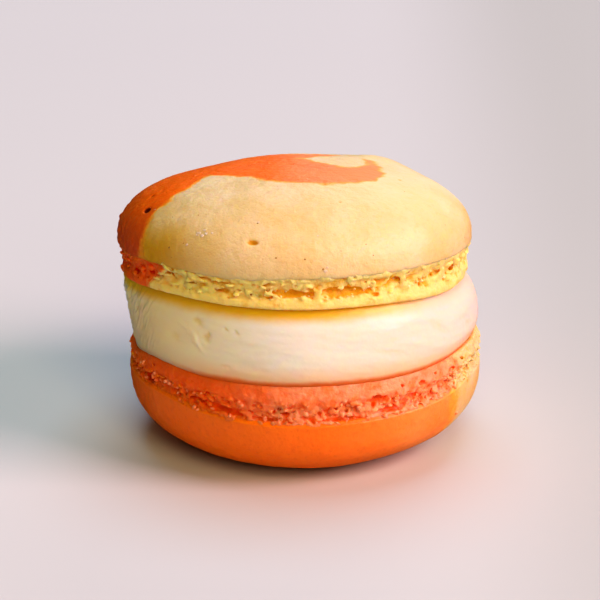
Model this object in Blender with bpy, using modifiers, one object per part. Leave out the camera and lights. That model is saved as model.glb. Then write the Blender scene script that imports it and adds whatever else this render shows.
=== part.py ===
"""A french macaron: two baked almond shells, each with its ruffled foot, and buttercream between.

The bottom shell lies on its dome, and the top shell is raised in front, so the cream is thick in
front and thin at the back. The macaron rests on a small flat spot of the bottom dome. Lengths are
in metres with +Z up, the front faces -Y, and the origin is the middle of the underside of the
whole macaron's box.

Angles run round the vertical axis in degrees from +X, so the front is at -90.
"""

import math
from dataclasses import dataclass

import bmesh
import bpy
from mathutils import Matrix, Vector, noise

MM = 0.001
SEGMENTS = 90
AXIS_MERGE = 0.00001
GAP = 0.3 * MM
FLAT_SPOT_DEPTH = 0.16 * MM


@dataclass(frozen=True)
class Swell:
    """A gentle rise, or dip if the amount is negative, centred on one angle round the axis."""

    angle: float
    width: float
    amount: float

    def at(self, angle):
        """The rise in metres at this angle in degrees."""
        away = (angle - self.angle + 180.0) % 360.0 - 180.0
        return self.amount * MM * math.exp(-0.5 * (away / self.width) ** 2)


@dataclass(frozen=True)
class Lump:
    """A rounded bump on a dome, or a dent if the amount is negative, at an angle and a radius."""

    angle: float
    radius: float
    width: float
    amount: float

    def at(self, angle, radius):
        """The rise in metres at this angle in degrees and this radius in metres."""
        turn = math.radians(angle - self.angle)
        own = self.radius * MM
        away_squared = radius**2 + own**2 - 2.0 * radius * own * math.cos(turn)
        return self.amount * MM * math.exp(-0.5 * away_squared / (self.width * MM) ** 2)


@dataclass(frozen=True)
class Shell:
    """One baked shell, sole at z = 0 and dome up, with the place that it takes in the macaron."""

    name: str
    color: tuple
    sole_radius: float
    edge_radius: float
    foot_height: float
    widest_radius: float
    widest_height: float
    dome_height: float
    dome_fullness: float
    place: tuple
    lean: float
    turned_over: bool
    seed: float
    lip_swells: tuple
    edge_swells: tuple
    dome_lumps: tuple

    def matrix(self):
        """Where the shell's own frame lies in the macaron."""
        turn = Matrix.Rotation(math.pi, 4, "Y") if self.turned_over else Matrix.Identity(4)
        lean = Matrix.Rotation(math.radians(self.lean), 4, "X")
        return Matrix.Translation(Vector(self.place)) @ lean @ turn


DOME_RINGS = 10

# The foot, from its sole up: a smooth lip, a recess, and a crevice under the edge of the skin.
LIP_HEIGHT = 0.95 * MM
LIP_BULGE = 0.35 * MM
LIP_STILLNESS = 0.35
FOOT_RECESS = 1.0 * MM
CREVICE_HEIGHT = 0.45 * MM

# The foot's ruffles: coarse waves round it, and finer ones of half their depth.
FOOT_RUFFLE = 0.42 * MM
COARSE_RUFFLES = 7.5
COARSE_RUFFLE_LEVELS = 4.0
FINE_RUFFLES = 22.5
FINE_RUFFLE_LEVELS = 9.0

# The sole is flat inside this share of its radius, and its rim waves with the lip outside it.
FLAT_SOLE_SHARE = 0.72
SOLE_RIM_SHARE = 0.97

# The dome isn't quite round: slow waves, whose seed is also used for its outline.
DOME_UNEVENNESS = 0.14 * MM
DOME_WAVES = 2.6
LUMPS_FADE_IN = 0.4

TOP_SHELL = Shell(
    name="top_shell",
    color=(0.93, 0.67, 0.27, 1.0),
    sole_radius=22.1 * MM,
    edge_radius=22.9 * MM,
    foot_height=3.95 * MM,
    widest_radius=22.95 * MM,
    widest_height=4.5 * MM,
    dome_height=9.2 * MM,
    dome_fullness=2.33,
    place=(-0.7 * MM, 0.0, 22.4 * MM),
    lean=-6.0,
    turned_over=False,
    seed=3.7,
    lip_swells=(
        Swell(-136, 17, 0.45),
        Swell(-92, 15, -0.12),
        Swell(-30, 14, -0.45),
        Swell(-3, 9, 0.3),
        Swell(62, 20, -0.25),
        Swell(128, 22, 0.3),
    ),
    edge_swells=(
        Swell(-140, 10, 0.2),
        Swell(-108, 9, -0.3),
        Swell(-45, 14, 0.2),
        Swell(-14, 10, 0.25),
        Swell(70, 16, 0.3),
        Swell(150, 14, -0.3),
    ),
    dome_lumps=(
        Lump(43, 16.0, 2.8, 0.75),
        Lump(139, 15.5, 5.0, -0.45),
        Lump(-60, 9.0, 6.0, 0.15),
    ),
)

BOTTOM_SHELL = Shell(
    name="bottom_shell",
    color=(0.93, 0.26, 0.07, 1.0),
    sole_radius=22.3 * MM,
    edge_radius=22.8 * MM,
    foot_height=4.5 * MM,
    widest_radius=22.95 * MM,
    widest_height=4.75 * MM,
    dome_height=10.3 * MM,
    dome_fullness=2.9,
    place=(0.7 * MM, 0.0, 15.15 * MM),
    lean=1.9,
    turned_over=True,
    seed=11.3,
    lip_swells=(
        Swell(0, 11, 0.75),
        Swell(-80, 18, -0.2),
        Swell(-126, 14, 0.12),
        Swell(-174, 12, 0.9),
        Swell(-215, 20, 0.3),
        Swell(-290, 22, -0.3),
    ),
    edge_swells=(
        Swell(-142, 9, -0.45),
        Swell(-95, 16, 0.35),
        Swell(-22, 9, -0.7),
        Swell(-230, 20, 0.35),
        Swell(-300, 18, -0.3),
    ),
    dome_lumps=(
        Lump(-50, 19.0, 5.0, -0.2),
        Lump(120, 14.0, 7.0, 0.2),
    ),
)


@dataclass(frozen=True)
class Filling:
    """The buttercream, which reaches nearly to both rims and bulges between them."""

    name: str = "filling"
    color: tuple = (0.86, 0.76, 0.55, 1.0)
    lower_inset: float = 0.15 * MM
    upper_inset: float = 0.3 * MM
    belly: float = 0.8 * MM
    belly_squareness: float = 2.2
    wave: float = 0.16 * MM
    wave_turns: float = 2.4
    seed: float = 21.9
    side_steps: int = 9
    belly_swells: tuple = (
        Swell(-2, 26, 0.75),
        Swell(-176, 24, -1.1),
        Swell(95, 34, -0.4),
    )


FILLING = Filling()


def smooth_step(value):
    """Rises from 0 to 1 with no corner as the value goes from 0 to 1."""
    held = min(max(value, 0.0), 1.0)
    return held * held * (3.0 - 2.0 * held)


def all_swells(swells, angle):
    """The swells' rises at this angle, added up."""
    return sum(swell.at(angle) for swell in swells)


def ring_noise(angle, level, turns, seed):
    """Noise from -1 to 1 that closes on itself round the axis, with about this many waves a turn."""
    reach = turns / math.pi
    radians = math.radians(angle)
    spot = Vector((reach * math.cos(radians), reach * math.sin(radians), level))
    return noise.noise(spot + Vector((seed, -seed, 0.5 * seed)))


def macaron_angle(shell, angle):
    """The angle in the macaron of an angle in the shell's own frame, as turning over reverses it."""
    return 180.0 - angle if shell.turned_over else angle


def lip_rise(shell, angle):
    """How far the sole's rim rises into the shell at this angle of the macaron."""
    return all_swells(shell.lip_swells, angle)


def rim_share(shell, radius):
    """0 over the flat middle of the sole and 1 at its rim."""
    share = radius / shell.sole_radius
    return smooth_step((share - FLAT_SOLE_SHARE) / (SOLE_RIM_SHARE - FLAT_SOLE_SHARE))


def dome_points(shell):
    """The dome's outline, a superellipse from the axis out to its widest ring."""
    for step in range(DOME_RINGS + 1):
        turn = 0.5 * math.pi * (1.0 - step / DOME_RINGS)
        radius = shell.widest_radius * math.cos(turn) ** (2.0 / shell.dome_fullness)
        rise = shell.dome_height * math.sin(turn) ** (2.0 / shell.dome_fullness)
        yield (0.0 if step == 0 else radius, shell.widest_height + rise)


def foot_points(shell):
    """The foot's outline under the skin's edge: the crevice, the recess, the lip and the sole."""
    skin_edge = (shell.edge_radius, shell.foot_height)
    crevice = (shell.edge_radius - 0.7 * FOOT_RECESS, shell.foot_height - CREVICE_HEIGHT)
    upper_recess = (shell.edge_radius - FOOT_RECESS, 0.62 * shell.foot_height)
    lower_recess = (shell.edge_radius - 0.85 * FOOT_RECESS, 0.4 * shell.foot_height)
    lip_top = (shell.sole_radius + LIP_BULGE, LIP_HEIGHT)
    lip_side = (shell.sole_radius + LIP_BULGE, 0.4 * LIP_HEIGHT)
    rim = (shell.sole_radius, 0.0)
    sole = [(share * shell.sole_radius, 0.0) for share in (0.93, 0.8, 0.0)]
    return [skin_edge, crevice, upper_recess, lower_recess, lip_top, lip_side, rim, *sole]


def turned_mesh(name, outline):
    """A closed mesh made by turning the outline round the Z axis with a Screw modifier."""
    profile = bpy.data.meshes.new(name + "_outline")
    points = [(radius, 0.0, height) for radius, height in outline]
    edges = [(step, step + 1) for step in range(len(points) - 1)]
    profile.from_pydata(points, edges, [])
    turned = bpy.data.objects.new(name + "_turned", profile)
    bpy.context.scene.collection.objects.link(turned)
    screw = turned.modifiers.new("turn", "SCREW")
    screw.steps = SEGMENTS
    screw.render_steps = SEGMENTS
    screw.use_merge_vertices = True
    screw.merge_threshold = AXIS_MERGE
    bpy.context.view_layer.update()
    graph = bpy.context.evaluated_depsgraph_get()
    mesh = bpy.data.meshes.new_from_object(turned.evaluated_get(graph))
    mesh.name = name
    bpy.data.objects.remove(turned)
    bpy.data.meshes.remove(profile)
    return mesh


def shell_rise(shell, angle, radius, height):
    """How far a point of the true turned shell is lifted by its lip, edge and dome unevenness."""
    top = shell.widest_height + shell.dome_height
    up_foot = smooth_step(height / shell.foot_height)
    up_dome = max(height - shell.foot_height, 0.0) / (top - shell.foot_height)
    lip = lip_rise(shell, angle) * rim_share(shell, radius) * (1.0 - up_foot)
    edge = all_swells(shell.edge_swells, angle) * up_foot * (1.0 - up_dome) ** 2
    lumps = sum(lump.at(angle, radius) for lump in shell.dome_lumps)
    wave = ring_noise(angle, height / shell.widest_radius, DOME_WAVES, shell.seed)
    return lip + edge + lumps * smooth_step(up_dome / LUMPS_FADE_IN) + DOME_UNEVENNESS * up_dome * wave


def shell_spread(shell, angle, radius, height):
    """How far a point of the true turned shell is pushed out by its ruffles and slow waves."""
    level = height / shell.widest_radius
    ruffle = ring_noise(angle, COARSE_RUFFLE_LEVELS * level, COARSE_RUFFLES, shell.seed)
    ruffle += 0.5 * ring_noise(angle, FINE_RUFFLE_LEVELS * level, FINE_RUFFLES, 2.0 * shell.seed)
    above_lip = smooth_step((height - 0.5 * LIP_HEIGHT) / LIP_HEIGHT)
    depth = FOOT_RUFFLE * (LIP_STILLNESS + (1.0 - LIP_STILLNESS) * above_lip)
    under_skin = 1.0 - smooth_step(10.0 * height / shell.foot_height - 9.0)
    wave = DOME_UNEVENNESS * ring_noise(angle, 0.0, DOME_WAVES, 3.0 * shell.seed)
    return rim_share(shell, radius) * (depth * under_skin * ruffle + wave)


def uneven_shell_point(shell, point):
    """Where a point of the true turned shell lies on the real one."""
    radius = math.hypot(point.x, point.y)
    if radius < AXIS_MERGE:
        return point
    angle = macaron_angle(shell, math.degrees(math.atan2(point.y, point.x)))
    spread = shell_spread(shell, angle, radius, point.z)
    rise = shell_rise(shell, angle, radius, point.z)
    scale = (radius + spread) / radius
    return Vector((point.x * scale, point.y * scale, point.z + rise))


def sole_height(shell, x, y):
    """The height in the macaron of the shell's sole over or under a place on the floor."""
    place = shell.matrix()
    normal = (place.to_3x3() @ Vector((0.0, 0.0, 1.0))).normalized()
    origin = place.translation
    height = origin.z - (normal.x * (x - origin.x) + normal.y * (y - origin.y)) / normal.z
    radius = math.hypot(x - origin.x, y - origin.y)
    angle = math.degrees(math.atan2(y - origin.y, x - origin.x))
    rise = lip_rise(shell, angle) * rim_share(shell, radius)
    return height + math.copysign(1.0, normal.z) * rise


def filling_outline():
    """A drum of radius and height 1, which filling_point stretches between the two soles."""
    rings = (0.0, 0.6, 0.85)
    upper = [(radius, 1.0) for radius in rings]
    side = [(1.0, 1.0 - step / FILLING.side_steps) for step in range(FILLING.side_steps + 1)]
    lower = [(radius, 0.0) for radius in reversed(rings)]
    return [*upper, *side, *lower]


def rim_spot(shell, inset, direction):
    """Where the shell's rim lies in plan in this direction, moved in by the inset."""
    return Vector(shell.place).to_2d() + direction * (shell.sole_radius - inset)


def filling_point(point):
    """Where a point of the plain drum lies in the real filling."""
    share = point.z
    angle = math.degrees(math.atan2(point.y, point.x))
    direction = Vector((math.cos(math.radians(angle)), math.sin(math.radians(angle))))
    lower = rim_spot(BOTTOM_SHELL, FILLING.lower_inset, direction)
    upper = rim_spot(TOP_SHELL, FILLING.upper_inset, direction)
    bulge = 1.0 - abs(2.0 * share - 1.0) ** FILLING.belly_squareness
    belly = (FILLING.belly + all_swells(FILLING.belly_swells, angle)) * bulge
    wave = FILLING.wave * bulge * ring_noise(angle, share, FILLING.wave_turns, FILLING.seed)
    edge = lower.lerp(upper, share) + direction * (belly + wave)
    middle = Vector(BOTTOM_SHELL.place).lerp(Vector(TOP_SHELL.place), share).to_2d()
    x, y = middle.lerp(edge, math.hypot(point.x, point.y))
    bottom = sole_height(BOTTOM_SHELL, x, y) + GAP
    top = sole_height(TOP_SHELL, x, y) - GAP
    return Vector((x, y, bottom + share * (top - bottom)))


def reshape(mesh, rule):
    """Moves every vertex of the mesh to where the rule puts it."""
    for vertex in mesh.vertices:
        vertex.co = rule(vertex.co.copy())
    mesh.update()


def add_part(name, mesh, color, collection):
    """An object in the collection with its own matt baked finish, shaded smooth."""
    part = bpy.data.objects.new(name, mesh)
    collection.objects.link(part)
    finish = bpy.data.materials.new(name + "_finish")
    finish.use_nodes = True
    surface = finish.node_tree.nodes["Principled BSDF"]
    surface.inputs["Base Color"].default_value = color
    surface.inputs["Roughness"].default_value = 0.6
    surface.inputs["Metallic"].default_value = 0.0
    mesh.materials.append(finish)
    mesh.shade_smooth()
    mesh.set_sharp_from_angle(angle=math.radians(50))
    return part


def build_shell(shell, collection):
    """One shell, turned, made uneven and put in its place."""
    outline = [*dome_points(shell), *foot_points(shell)]
    mesh = turned_mesh(shell.name, outline)
    reshape(mesh, lambda point: uneven_shell_point(shell, point))
    part = add_part(shell.name, mesh, shell.color, collection)
    part.matrix_world = shell.matrix()
    return part


def build_filling(collection):
    """The buttercream between the two soles."""
    mesh = turned_mesh(FILLING.name, filling_outline())
    reshape(mesh, filling_point)
    return add_part(FILLING.name, mesh, FILLING.color, collection)


def cut_flat_spot(part):
    """Slices the lowest cap off the part, and returns the height that it rests at."""
    place = part.matrix_world
    lowest = min((place @ vertex.co).z for vertex in part.data.vertices)
    rest_height = lowest + FLAT_SPOT_DEPTH
    into_part = place.inverted()
    plane_point = into_part @ Vector((0.0, 0.0, rest_height))
    plane_normal = into_part.to_3x3() @ Vector((0.0, 0.0, 1.0))
    shape = bmesh.new()
    shape.from_mesh(part.data)
    everything = [*shape.verts, *shape.edges, *shape.faces]
    cut = bmesh.ops.bisect_plane(
        shape, geom=everything, plane_co=plane_point, plane_no=plane_normal, clear_inner=True
    )
    rim = [item for item in cut["geom_cut"] if isinstance(item, bmesh.types.BMEdge)]
    bmesh.ops.holes_fill(shape, edges=rim)
    bmesh.ops.recalc_face_normals(shape, faces=shape.faces)
    shape.to_mesh(part.data)
    shape.free()
    return rest_height


def move_to_origin(parts, rest_height):
    """Puts the middle of the macaron's underside at the origin, under one empty."""
    corners = [part.matrix_world @ vertex.co for part in parts for vertex in part.data.vertices]
    middle_x = 0.5 * (min(c.x for c in corners) + max(c.x for c in corners))
    middle_y = 0.5 * (min(c.y for c in corners) + max(c.y for c in corners))
    root = bpy.data.objects.new("macaron_root", None)
    parts[0].users_collection[0].objects.link(root)
    root.location = (-middle_x, -middle_y, -rest_height)
    for part in parts:
        part.parent = root


def main():
    """Clears the scene and builds the macaron."""
    for old in list(bpy.data.objects):
        bpy.data.objects.remove(old)
    collection = bpy.data.collections.new("french_macaron")
    bpy.context.scene.collection.children.link(collection)
    top = build_shell(TOP_SHELL, collection)
    filling = build_filling(collection)
    bottom = build_shell(BOTTOM_SHELL, collection)
    bpy.context.view_layer.update()
    rest_height = cut_flat_spot(bottom)
    move_to_origin([top, filling, bottom], rest_height)
    bpy.context.view_layer.update()


main()
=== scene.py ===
"""A french macaron: two swirled almond shells on their foamy feet, with buttercream between them.

Every class keeps its sizes in millimetres. Angles run round the vertical axis in degrees from +X, so the
front is at -90. A shell is made in its own frame, with its sole at height 0 and its dome up, and then takes
its place in the macaron. Plan spots (x, y) and angles are always those of the macaron, also on the bottom
shell, which is turned over.
"""

import logging
import math
from dataclasses import dataclass
from enum import Enum
from typing import Sequence

import bpy
import numpy as np
from mathutils import Matrix, Vector, noise


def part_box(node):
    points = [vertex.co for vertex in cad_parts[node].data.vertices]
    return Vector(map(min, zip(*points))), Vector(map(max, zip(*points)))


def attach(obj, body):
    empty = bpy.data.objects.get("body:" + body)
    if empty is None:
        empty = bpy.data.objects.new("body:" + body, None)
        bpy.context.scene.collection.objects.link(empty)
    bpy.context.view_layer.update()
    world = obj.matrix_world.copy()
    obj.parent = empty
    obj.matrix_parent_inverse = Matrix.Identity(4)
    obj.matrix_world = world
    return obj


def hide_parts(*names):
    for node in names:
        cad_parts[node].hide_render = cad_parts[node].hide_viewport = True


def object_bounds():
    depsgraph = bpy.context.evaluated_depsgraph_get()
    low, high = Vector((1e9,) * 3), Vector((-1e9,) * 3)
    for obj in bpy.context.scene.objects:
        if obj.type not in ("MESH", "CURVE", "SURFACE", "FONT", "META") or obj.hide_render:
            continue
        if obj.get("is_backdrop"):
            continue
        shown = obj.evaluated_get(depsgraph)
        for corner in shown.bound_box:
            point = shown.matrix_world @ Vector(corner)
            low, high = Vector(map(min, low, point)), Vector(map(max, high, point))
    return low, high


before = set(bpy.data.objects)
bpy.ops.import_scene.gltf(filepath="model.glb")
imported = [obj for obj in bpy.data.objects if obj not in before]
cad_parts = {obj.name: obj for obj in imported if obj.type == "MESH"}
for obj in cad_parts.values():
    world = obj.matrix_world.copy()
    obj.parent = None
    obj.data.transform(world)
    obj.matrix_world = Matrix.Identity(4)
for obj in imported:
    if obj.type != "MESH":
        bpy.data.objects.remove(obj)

log = logging.getLogger("macaron")

MM = 0.001
ROOT = "root"

Color = tuple[float, float, float]
Spot = tuple[float, float, float]
Span = tuple[float, float]
Array = np.ndarray
Mesh = bpy.types.Mesh
Piece = bpy.types.Object
Material = bpy.types.Material
Inputs = dict[str | int, object]


class Slot(Enum):
    """The record's material slots that the pieces take their finish from."""

    YELLOW_SHELL = "yellow_shell"
    BUTTERCREAM = "buttercream"
    ORANGE_SHELL = "orange_shell"


class Half(Enum):
    """Which side of a shell's foot a piece holds."""

    FRONT = "front"
    BACK = "back"


# ---- Shared rules for shapes


def smooth_step(low: float, high: float, value: Array) -> Array:
    """Rises from 0 at low to 1 at high with no corner.

    Args:
        low: The value at which the step starts.
        high: The value at which the step ends. It may be below low, which turns the step round.
        value: The values to look up.

    Returns:
        The step's height, from 0 to 1, for each value.
    """
    share = np.clip((value - low) / (high - low), 0.0, 1.0)
    return share * share * (3.0 - 2.0 * share)


def angle_between(angles: Array, middle: float) -> Array:
    """How far each angle lies from the middle, in degrees from -180 to 180."""
    return (angles - middle + 180.0) % 360.0 - 180.0


def angles_of(plan: Array) -> Array:
    """The angle in degrees at which each place in plan lies."""
    return np.degrees(np.arctan2(plan[:, 1], plan[:, 0]))


def directions(angles: Array) -> Array:
    """The direction in plan of each angle in degrees, one to a row."""
    radians = np.radians(angles)
    return np.stack([np.cos(radians), np.sin(radians)], axis=1)


def on_sheet(across: Array, up: Array) -> Array:
    """Places on a flat sheet, one to a row."""
    return np.column_stack([across, up, np.zeros(len(across))])


def transformed(points: Array, matrix: Matrix) -> Array:
    """The points moved by a matrix of four rows."""
    rows = np.array(matrix)
    return points @ rows[:3, :3].T + rows[:3, 3]


def noise_at(points: Array, size: float, seed: float, octaves: int = 1) -> Array:
    """Smooth noise from about -1 to 1.

    Args:
        points: Places in millimetres, one to a row.
        size: About how large the noise's features are, in millimetres.
        seed: Moves the pattern, so that no two surfaces share one.
        octaves: How many layers, each half the size and half the strength of the one before.

    Returns:
        The noise at each place.
    """
    spots = (points / size + seed).tolist()
    if octaves == 1:
        return np.array([noise.noise(spot) for spot in spots])
    return np.array([noise.fractal(spot, 1.0, 2.0, octaves) for spot in spots])


def ring_noise(angles: Array, levels: Array, turns: float, seed: float) -> Array:
    """Noise that closes on itself round the axis.

    Args:
        angles: Angles in degrees.
        levels: Heights in the pattern, so that it also changes up and down.
        turns: About how many waves it has in a turn.
        seed: Moves the pattern.

    Returns:
        Noise from -1 to 1 for each angle.
    """
    plan = turns / math.pi * directions(angles)
    spots = np.column_stack([plan, np.broadcast_to(levels, angles.shape)])
    return np.array([noise.noise(spot) for spot in (spots + (seed, -seed, 0.5 * seed)).tolist()])


@dataclass(frozen=True)
class Swell:
    """A gentle rise in millimetres, or dip if the amount is negative, centred on one angle."""

    angle: float
    width: float
    amount: float

    def at(self, angles: Array) -> Array:
        """The rise at each angle."""
        return self.amount * np.exp(-0.5 * (angle_between(angles, self.angle) / self.width) ** 2)


def total(swells: Sequence[Swell], angles: Array) -> Array:
    """The rise of all the swells together at each angle."""
    return sum(swell.at(angles) for swell in swells)


@dataclass(frozen=True)
class Grain:
    """One roughness of a surface: how large its features are and how far they stand out, in millimetres."""

    size: float
    depth: float
    seed: float = 0.0
    octaves: int = 2

    def at(self, points: Array, seed: float = 0.0) -> Array:
        """How far the surface stands out at each place, for the surface's own seed."""
        return self.depth * noise_at(points, self.size, seed + self.seed, self.octaves)


@dataclass(frozen=True)
class Lump:
    """A rounded bump on a dome, or a dent if the amount is negative, at an angle and a radius."""

    angle: float
    radius: float
    width: float
    amount: float

    def at(self, angles: Array, radii: Array) -> Array:
        """The rise at each angle and radius."""
        turn = np.radians(angles - self.angle)
        away = radii**2 + self.radius**2 - 2.0 * radii * self.radius * np.cos(turn)
        return self.amount * np.exp(-0.5 * away / self.width**2)


@dataclass(frozen=True)
class Pit:
    """A small hole in a skin, or a small bump if the depth is negative.

    The spot is (x, y) in plan and the height over the sole. The stretch widens the pit round the shell.
    """

    spot: Spot
    size: float
    depth: float
    stretch: float = 1.0

    def at(self, spots: Array) -> Array:
        """How deep each place lies in the pit."""
        away = spots - self.spot
        x, y, _ = self.spot
        along = (away[:, 1] * x - away[:, 0] * y) / math.hypot(x, y)
        across = (away**2).sum(axis=1) - along**2
        return self.depth * np.exp(-((along / self.stretch) ** 2 + across) ** 2 / self.size**4)


@dataclass(frozen=True)
class Stroke:
    """A streak of the second batter colour: a curve in plan through (x, y, half width) points."""

    points: tuple[Spot, ...]
    steps: int = 14

    def samples(self) -> Array:
        """Close points along the curve through the stroke's own points, each with its half width."""
        knots = np.array([self.points[0], *self.points, self.points[-1]], float)
        found = []
        for before, start, end, after in zip(knots, knots[1:], knots[2:], knots[3:]):
            square = 2 * before - 5 * start + 4 * end - after
            cube = 3 * start - before - 3 * end + after
            for share in np.linspace(0.0, 1.0, self.steps, endpoint=False):
                bend = square * share**2 + cube * share**3
                found.append(0.5 * (2 * start + (end - before) * share + bend))
        return np.array([*found, knots[-1]])

    def inside(self, plan: Array) -> Array:
        """How far inside the stroke each place in plan lies, negative outside it."""
        deepest = np.full(len(plan), -np.inf)
        for x, y, half_width in self.samples():
            away = np.hypot(plan[:, 0] - x, plan[:, 1] - y)
            np.maximum(deepest, half_width - away, out=deepest)
        return deepest


def add_piece(name: str, mesh: Mesh, replaced: Sequence[str] = ()) -> Piece:
    """Links a finished mesh as a piece that rides on the macaron.

    Args:
        name: The piece's name.
        mesh: The mesh, with its place in it.
        replaced: The CAD nodes that the piece stands for.

    Returns:
        The piece.
    """
    piece = bpy.data.objects.new(name, mesh)
    bpy.context.scene.collection.objects.link(piece)
    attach(piece, ROOT)
    if replaced:
        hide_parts(*replaced)
    log.info("%s: %d faces", name, len(mesh.polygons))
    return piece


def set_values(mesh: Mesh, name: str, values: Array) -> None:
    """Keeps one number for each vertex under a name that a finish can read."""
    layer = mesh.attributes.get(name) or mesh.attributes.new(name, "FLOAT", "POINT")
    layer.data.foreach_set("value", np.ascontiguousarray(values, np.float32))


def points_of(mesh: Mesh) -> Array:
    """The mesh's vertices, one to a row."""
    flat = np.empty(len(mesh.vertices) * 3, np.float32)
    mesh.vertices.foreach_get("co", flat)
    return flat.reshape(-1, 3).astype(float)


def normals_of(mesh: Mesh) -> Array:
    """The directions that the mesh's vertices face, one to a row."""
    flat = np.empty(len(mesh.vertices) * 3, np.float32)
    mesh.vertex_normals.foreach_get("vector", flat)
    return flat.reshape(-1, 3).astype(float)


def move_points(mesh: Mesh, points: Array) -> None:
    """Puts the mesh's vertices at new places."""
    mesh.vertices.foreach_set("co", np.ascontiguousarray(points, np.float32).ravel())
    mesh.update()


def turned_rings(outline: Array, angles: Array) -> Array:
    """The rings of (radius, height) points turned to each angle, as rings x points x 3."""
    rings = outline[:, None, :1] * directions(angles)[None]
    heights = np.broadcast_to(outline[:, None, 1:], (*rings.shape[:2], 1))
    return np.concatenate([rings, heights], axis=2)


def closed_grid(name: str, top: Spot, rings: Array, bottom: Spot) -> Mesh:
    """A closed mesh of rings of points, with a fan of faces at each end.

    Args:
        name: The mesh's name.
        top: The point inside the first ring.
        rings: The rings, counted from the top and then outwards and down, as rings x points x 3.
        bottom: The point inside the last ring.

    Returns:
        The mesh, with its faces pointing outwards.
    """
    count, around, _ = rings.shape
    points = np.concatenate([[top], rings.reshape(-1, 3), [bottom]])
    here = np.arange(around) + 1
    beside = np.roll(here, -1)
    faces = np.stack([np.zeros(around, int), here, beside], axis=1).tolist()
    for ring in range(count - 1):
        inner, outer = ring * around, (ring + 1) * around
        faces += np.stack([inner + here, outer + here, outer + beside, inner + beside], axis=1).tolist()
    last = (count - 1) * around
    end = np.full(around, len(points) - 1)
    faces += np.stack([last + here, end, last + beside], axis=1).tolist()
    mesh = bpy.data.meshes.new(name)
    mesh.from_pydata(points.tolist(), [], faces)
    mesh.shade_smooth()
    return mesh


# ---- Node trees


class Value:
    """What a socket of a node tree gives. Plain arithmetic with a number adds the Math nodes for it."""

    def __init__(self, wiring: "Wiring", socket: bpy.types.NodeSocket) -> None:
        """Takes what the socket gives."""
        self.wiring = wiring
        self.socket = socket

    def __add__(self, other: object) -> "Value":
        """This number plus another."""
        return self.wiring.math("ADD", self, other)

    def __sub__(self, other: object) -> "Value":
        """This number less another."""
        return self.wiring.math("SUBTRACT", self, other)

    def __rsub__(self, other: object) -> "Value":
        """Another number less this one."""
        return self.wiring.math("SUBTRACT", other, self)

    def __mul__(self, other: object) -> "Value":
        """This number times another."""
        return self.wiring.math("MULTIPLY", self, other)

    def __truediv__(self, other: object) -> "Value":
        """This number over another."""
        return self.wiring.math("DIVIDE", self, other)

    def __rtruediv__(self, other: object) -> "Value":
        """Another number over this one."""
        return self.wiring.math("DIVIDE", other, self)


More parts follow.
